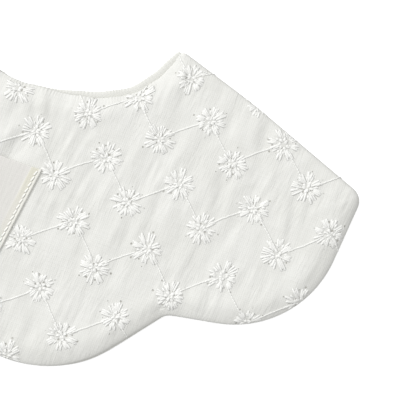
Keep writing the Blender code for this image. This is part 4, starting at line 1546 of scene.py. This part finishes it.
lightValues = {
    "keyDistance": 1.6,  # m from the middle of the view, along the table
    "keyHeight": 1.35,  # m above the table
    "keySize": 0.9,
    "keyAimHeight": 1.5,  # m; it looks past the bib, so that the far side gets as much light as the near one
    "keyPower": 36.5,
    "keyFrom": (-0.955, 0.297),  # where the key light stands, across the bib
    "sky": 0.705,
    "floorGlow": 0.5,
    "floorBounce": "a8a8a8",  # what the table gives back to the cloth
    "floorSize": 4.0,
}


def buildStage():
    mesh = bmesh.new()
    bmesh.ops.create_grid(mesh, x_segments=1, y_segments=1, size=lightValues["floorSize"] / 2)
    floor = addObject("paleTable", mesh)
    material, tree, shader = newMaterial("mattWhiteBoard", clothColours["floor"], *surfaces["floor"])
    shader.inputs["Emission Color"].default_value = hexColour(clothColours["floor"])
    shader.inputs["Emission Strength"].default_value = lightValues["floorGlow"]
    path = addNode(tree, "LightPath")
    dull = addNode(tree, "BsdfDiffuse", {"Color": hexColour(lightValues["floorBounce"])})
    either = addNode(tree, "MixShader", {0: path.outputs["Is Camera Ray"], 1: dull, 2: shader})
    tree.links.new(either.outputs[0], tree.nodes["Material Output"].inputs["Surface"])
    floor.data.materials.append(material)


def buildLight():
    world = bpy.data.worlds.new("softSky")
    world.use_nodes = True
    background = world.node_tree.nodes["Background"]
    background.inputs["Color"].default_value = (1.0, 1.0, 1.0, 1.0)
    background.inputs["Strength"].default_value = lightValues["sky"]
    bpy.context.scene.world = world
    data = bpy.data.lights.new("keyLight", "AREA")
    data.energy = lightValues["keyPower"]
    data.size = lightValues["keySize"]
    key = bpy.data.objects.new("keyLight", data)
    way = np.array(lightValues["keyFrom"]) * lightValues["keyDistance"]
    aim = Vector((viewValues["aim"][0] * mm, viewValues["aim"][1] * mm, 0))
    key.location = aim + Vector((way[0], way[1], lightValues["keyHeight"]))
    past = aim + Vector((0, 0, lightValues["keyAimHeight"]))
    key.rotation_euler = (past - key.location).to_track_quat("-Z", "Y").to_euler()
    bpy.context.scene.collection.objects.link(key)


def buildCamera():
    width = viewValues["mmPerPixel"] * viewValues["pixels"] * mm
    data = bpy.data.cameras.new("straightDown")
    data.lens = viewValues["lens"]
    data.sensor_width = viewValues["sensor"]
    camera = bpy.data.objects.new("straightDown", data)
    height = width * viewValues["lens"] / viewValues["sensor"] + faceTop * mm
    camera.location = (viewValues["aim"][0] * mm, viewValues["aim"][1] * mm, height)
    camera.rotation_euler = (0, 0, math.radians(viewValues["turn"]))
    bpy.context.scene.collection.objects.link(camera)
    bpy.context.scene.camera = camera


buildStage()
buildLight()
buildCamera()
bpy.context.scene.view_settings.view_transform = "Standard"
print("stage, light and camera")
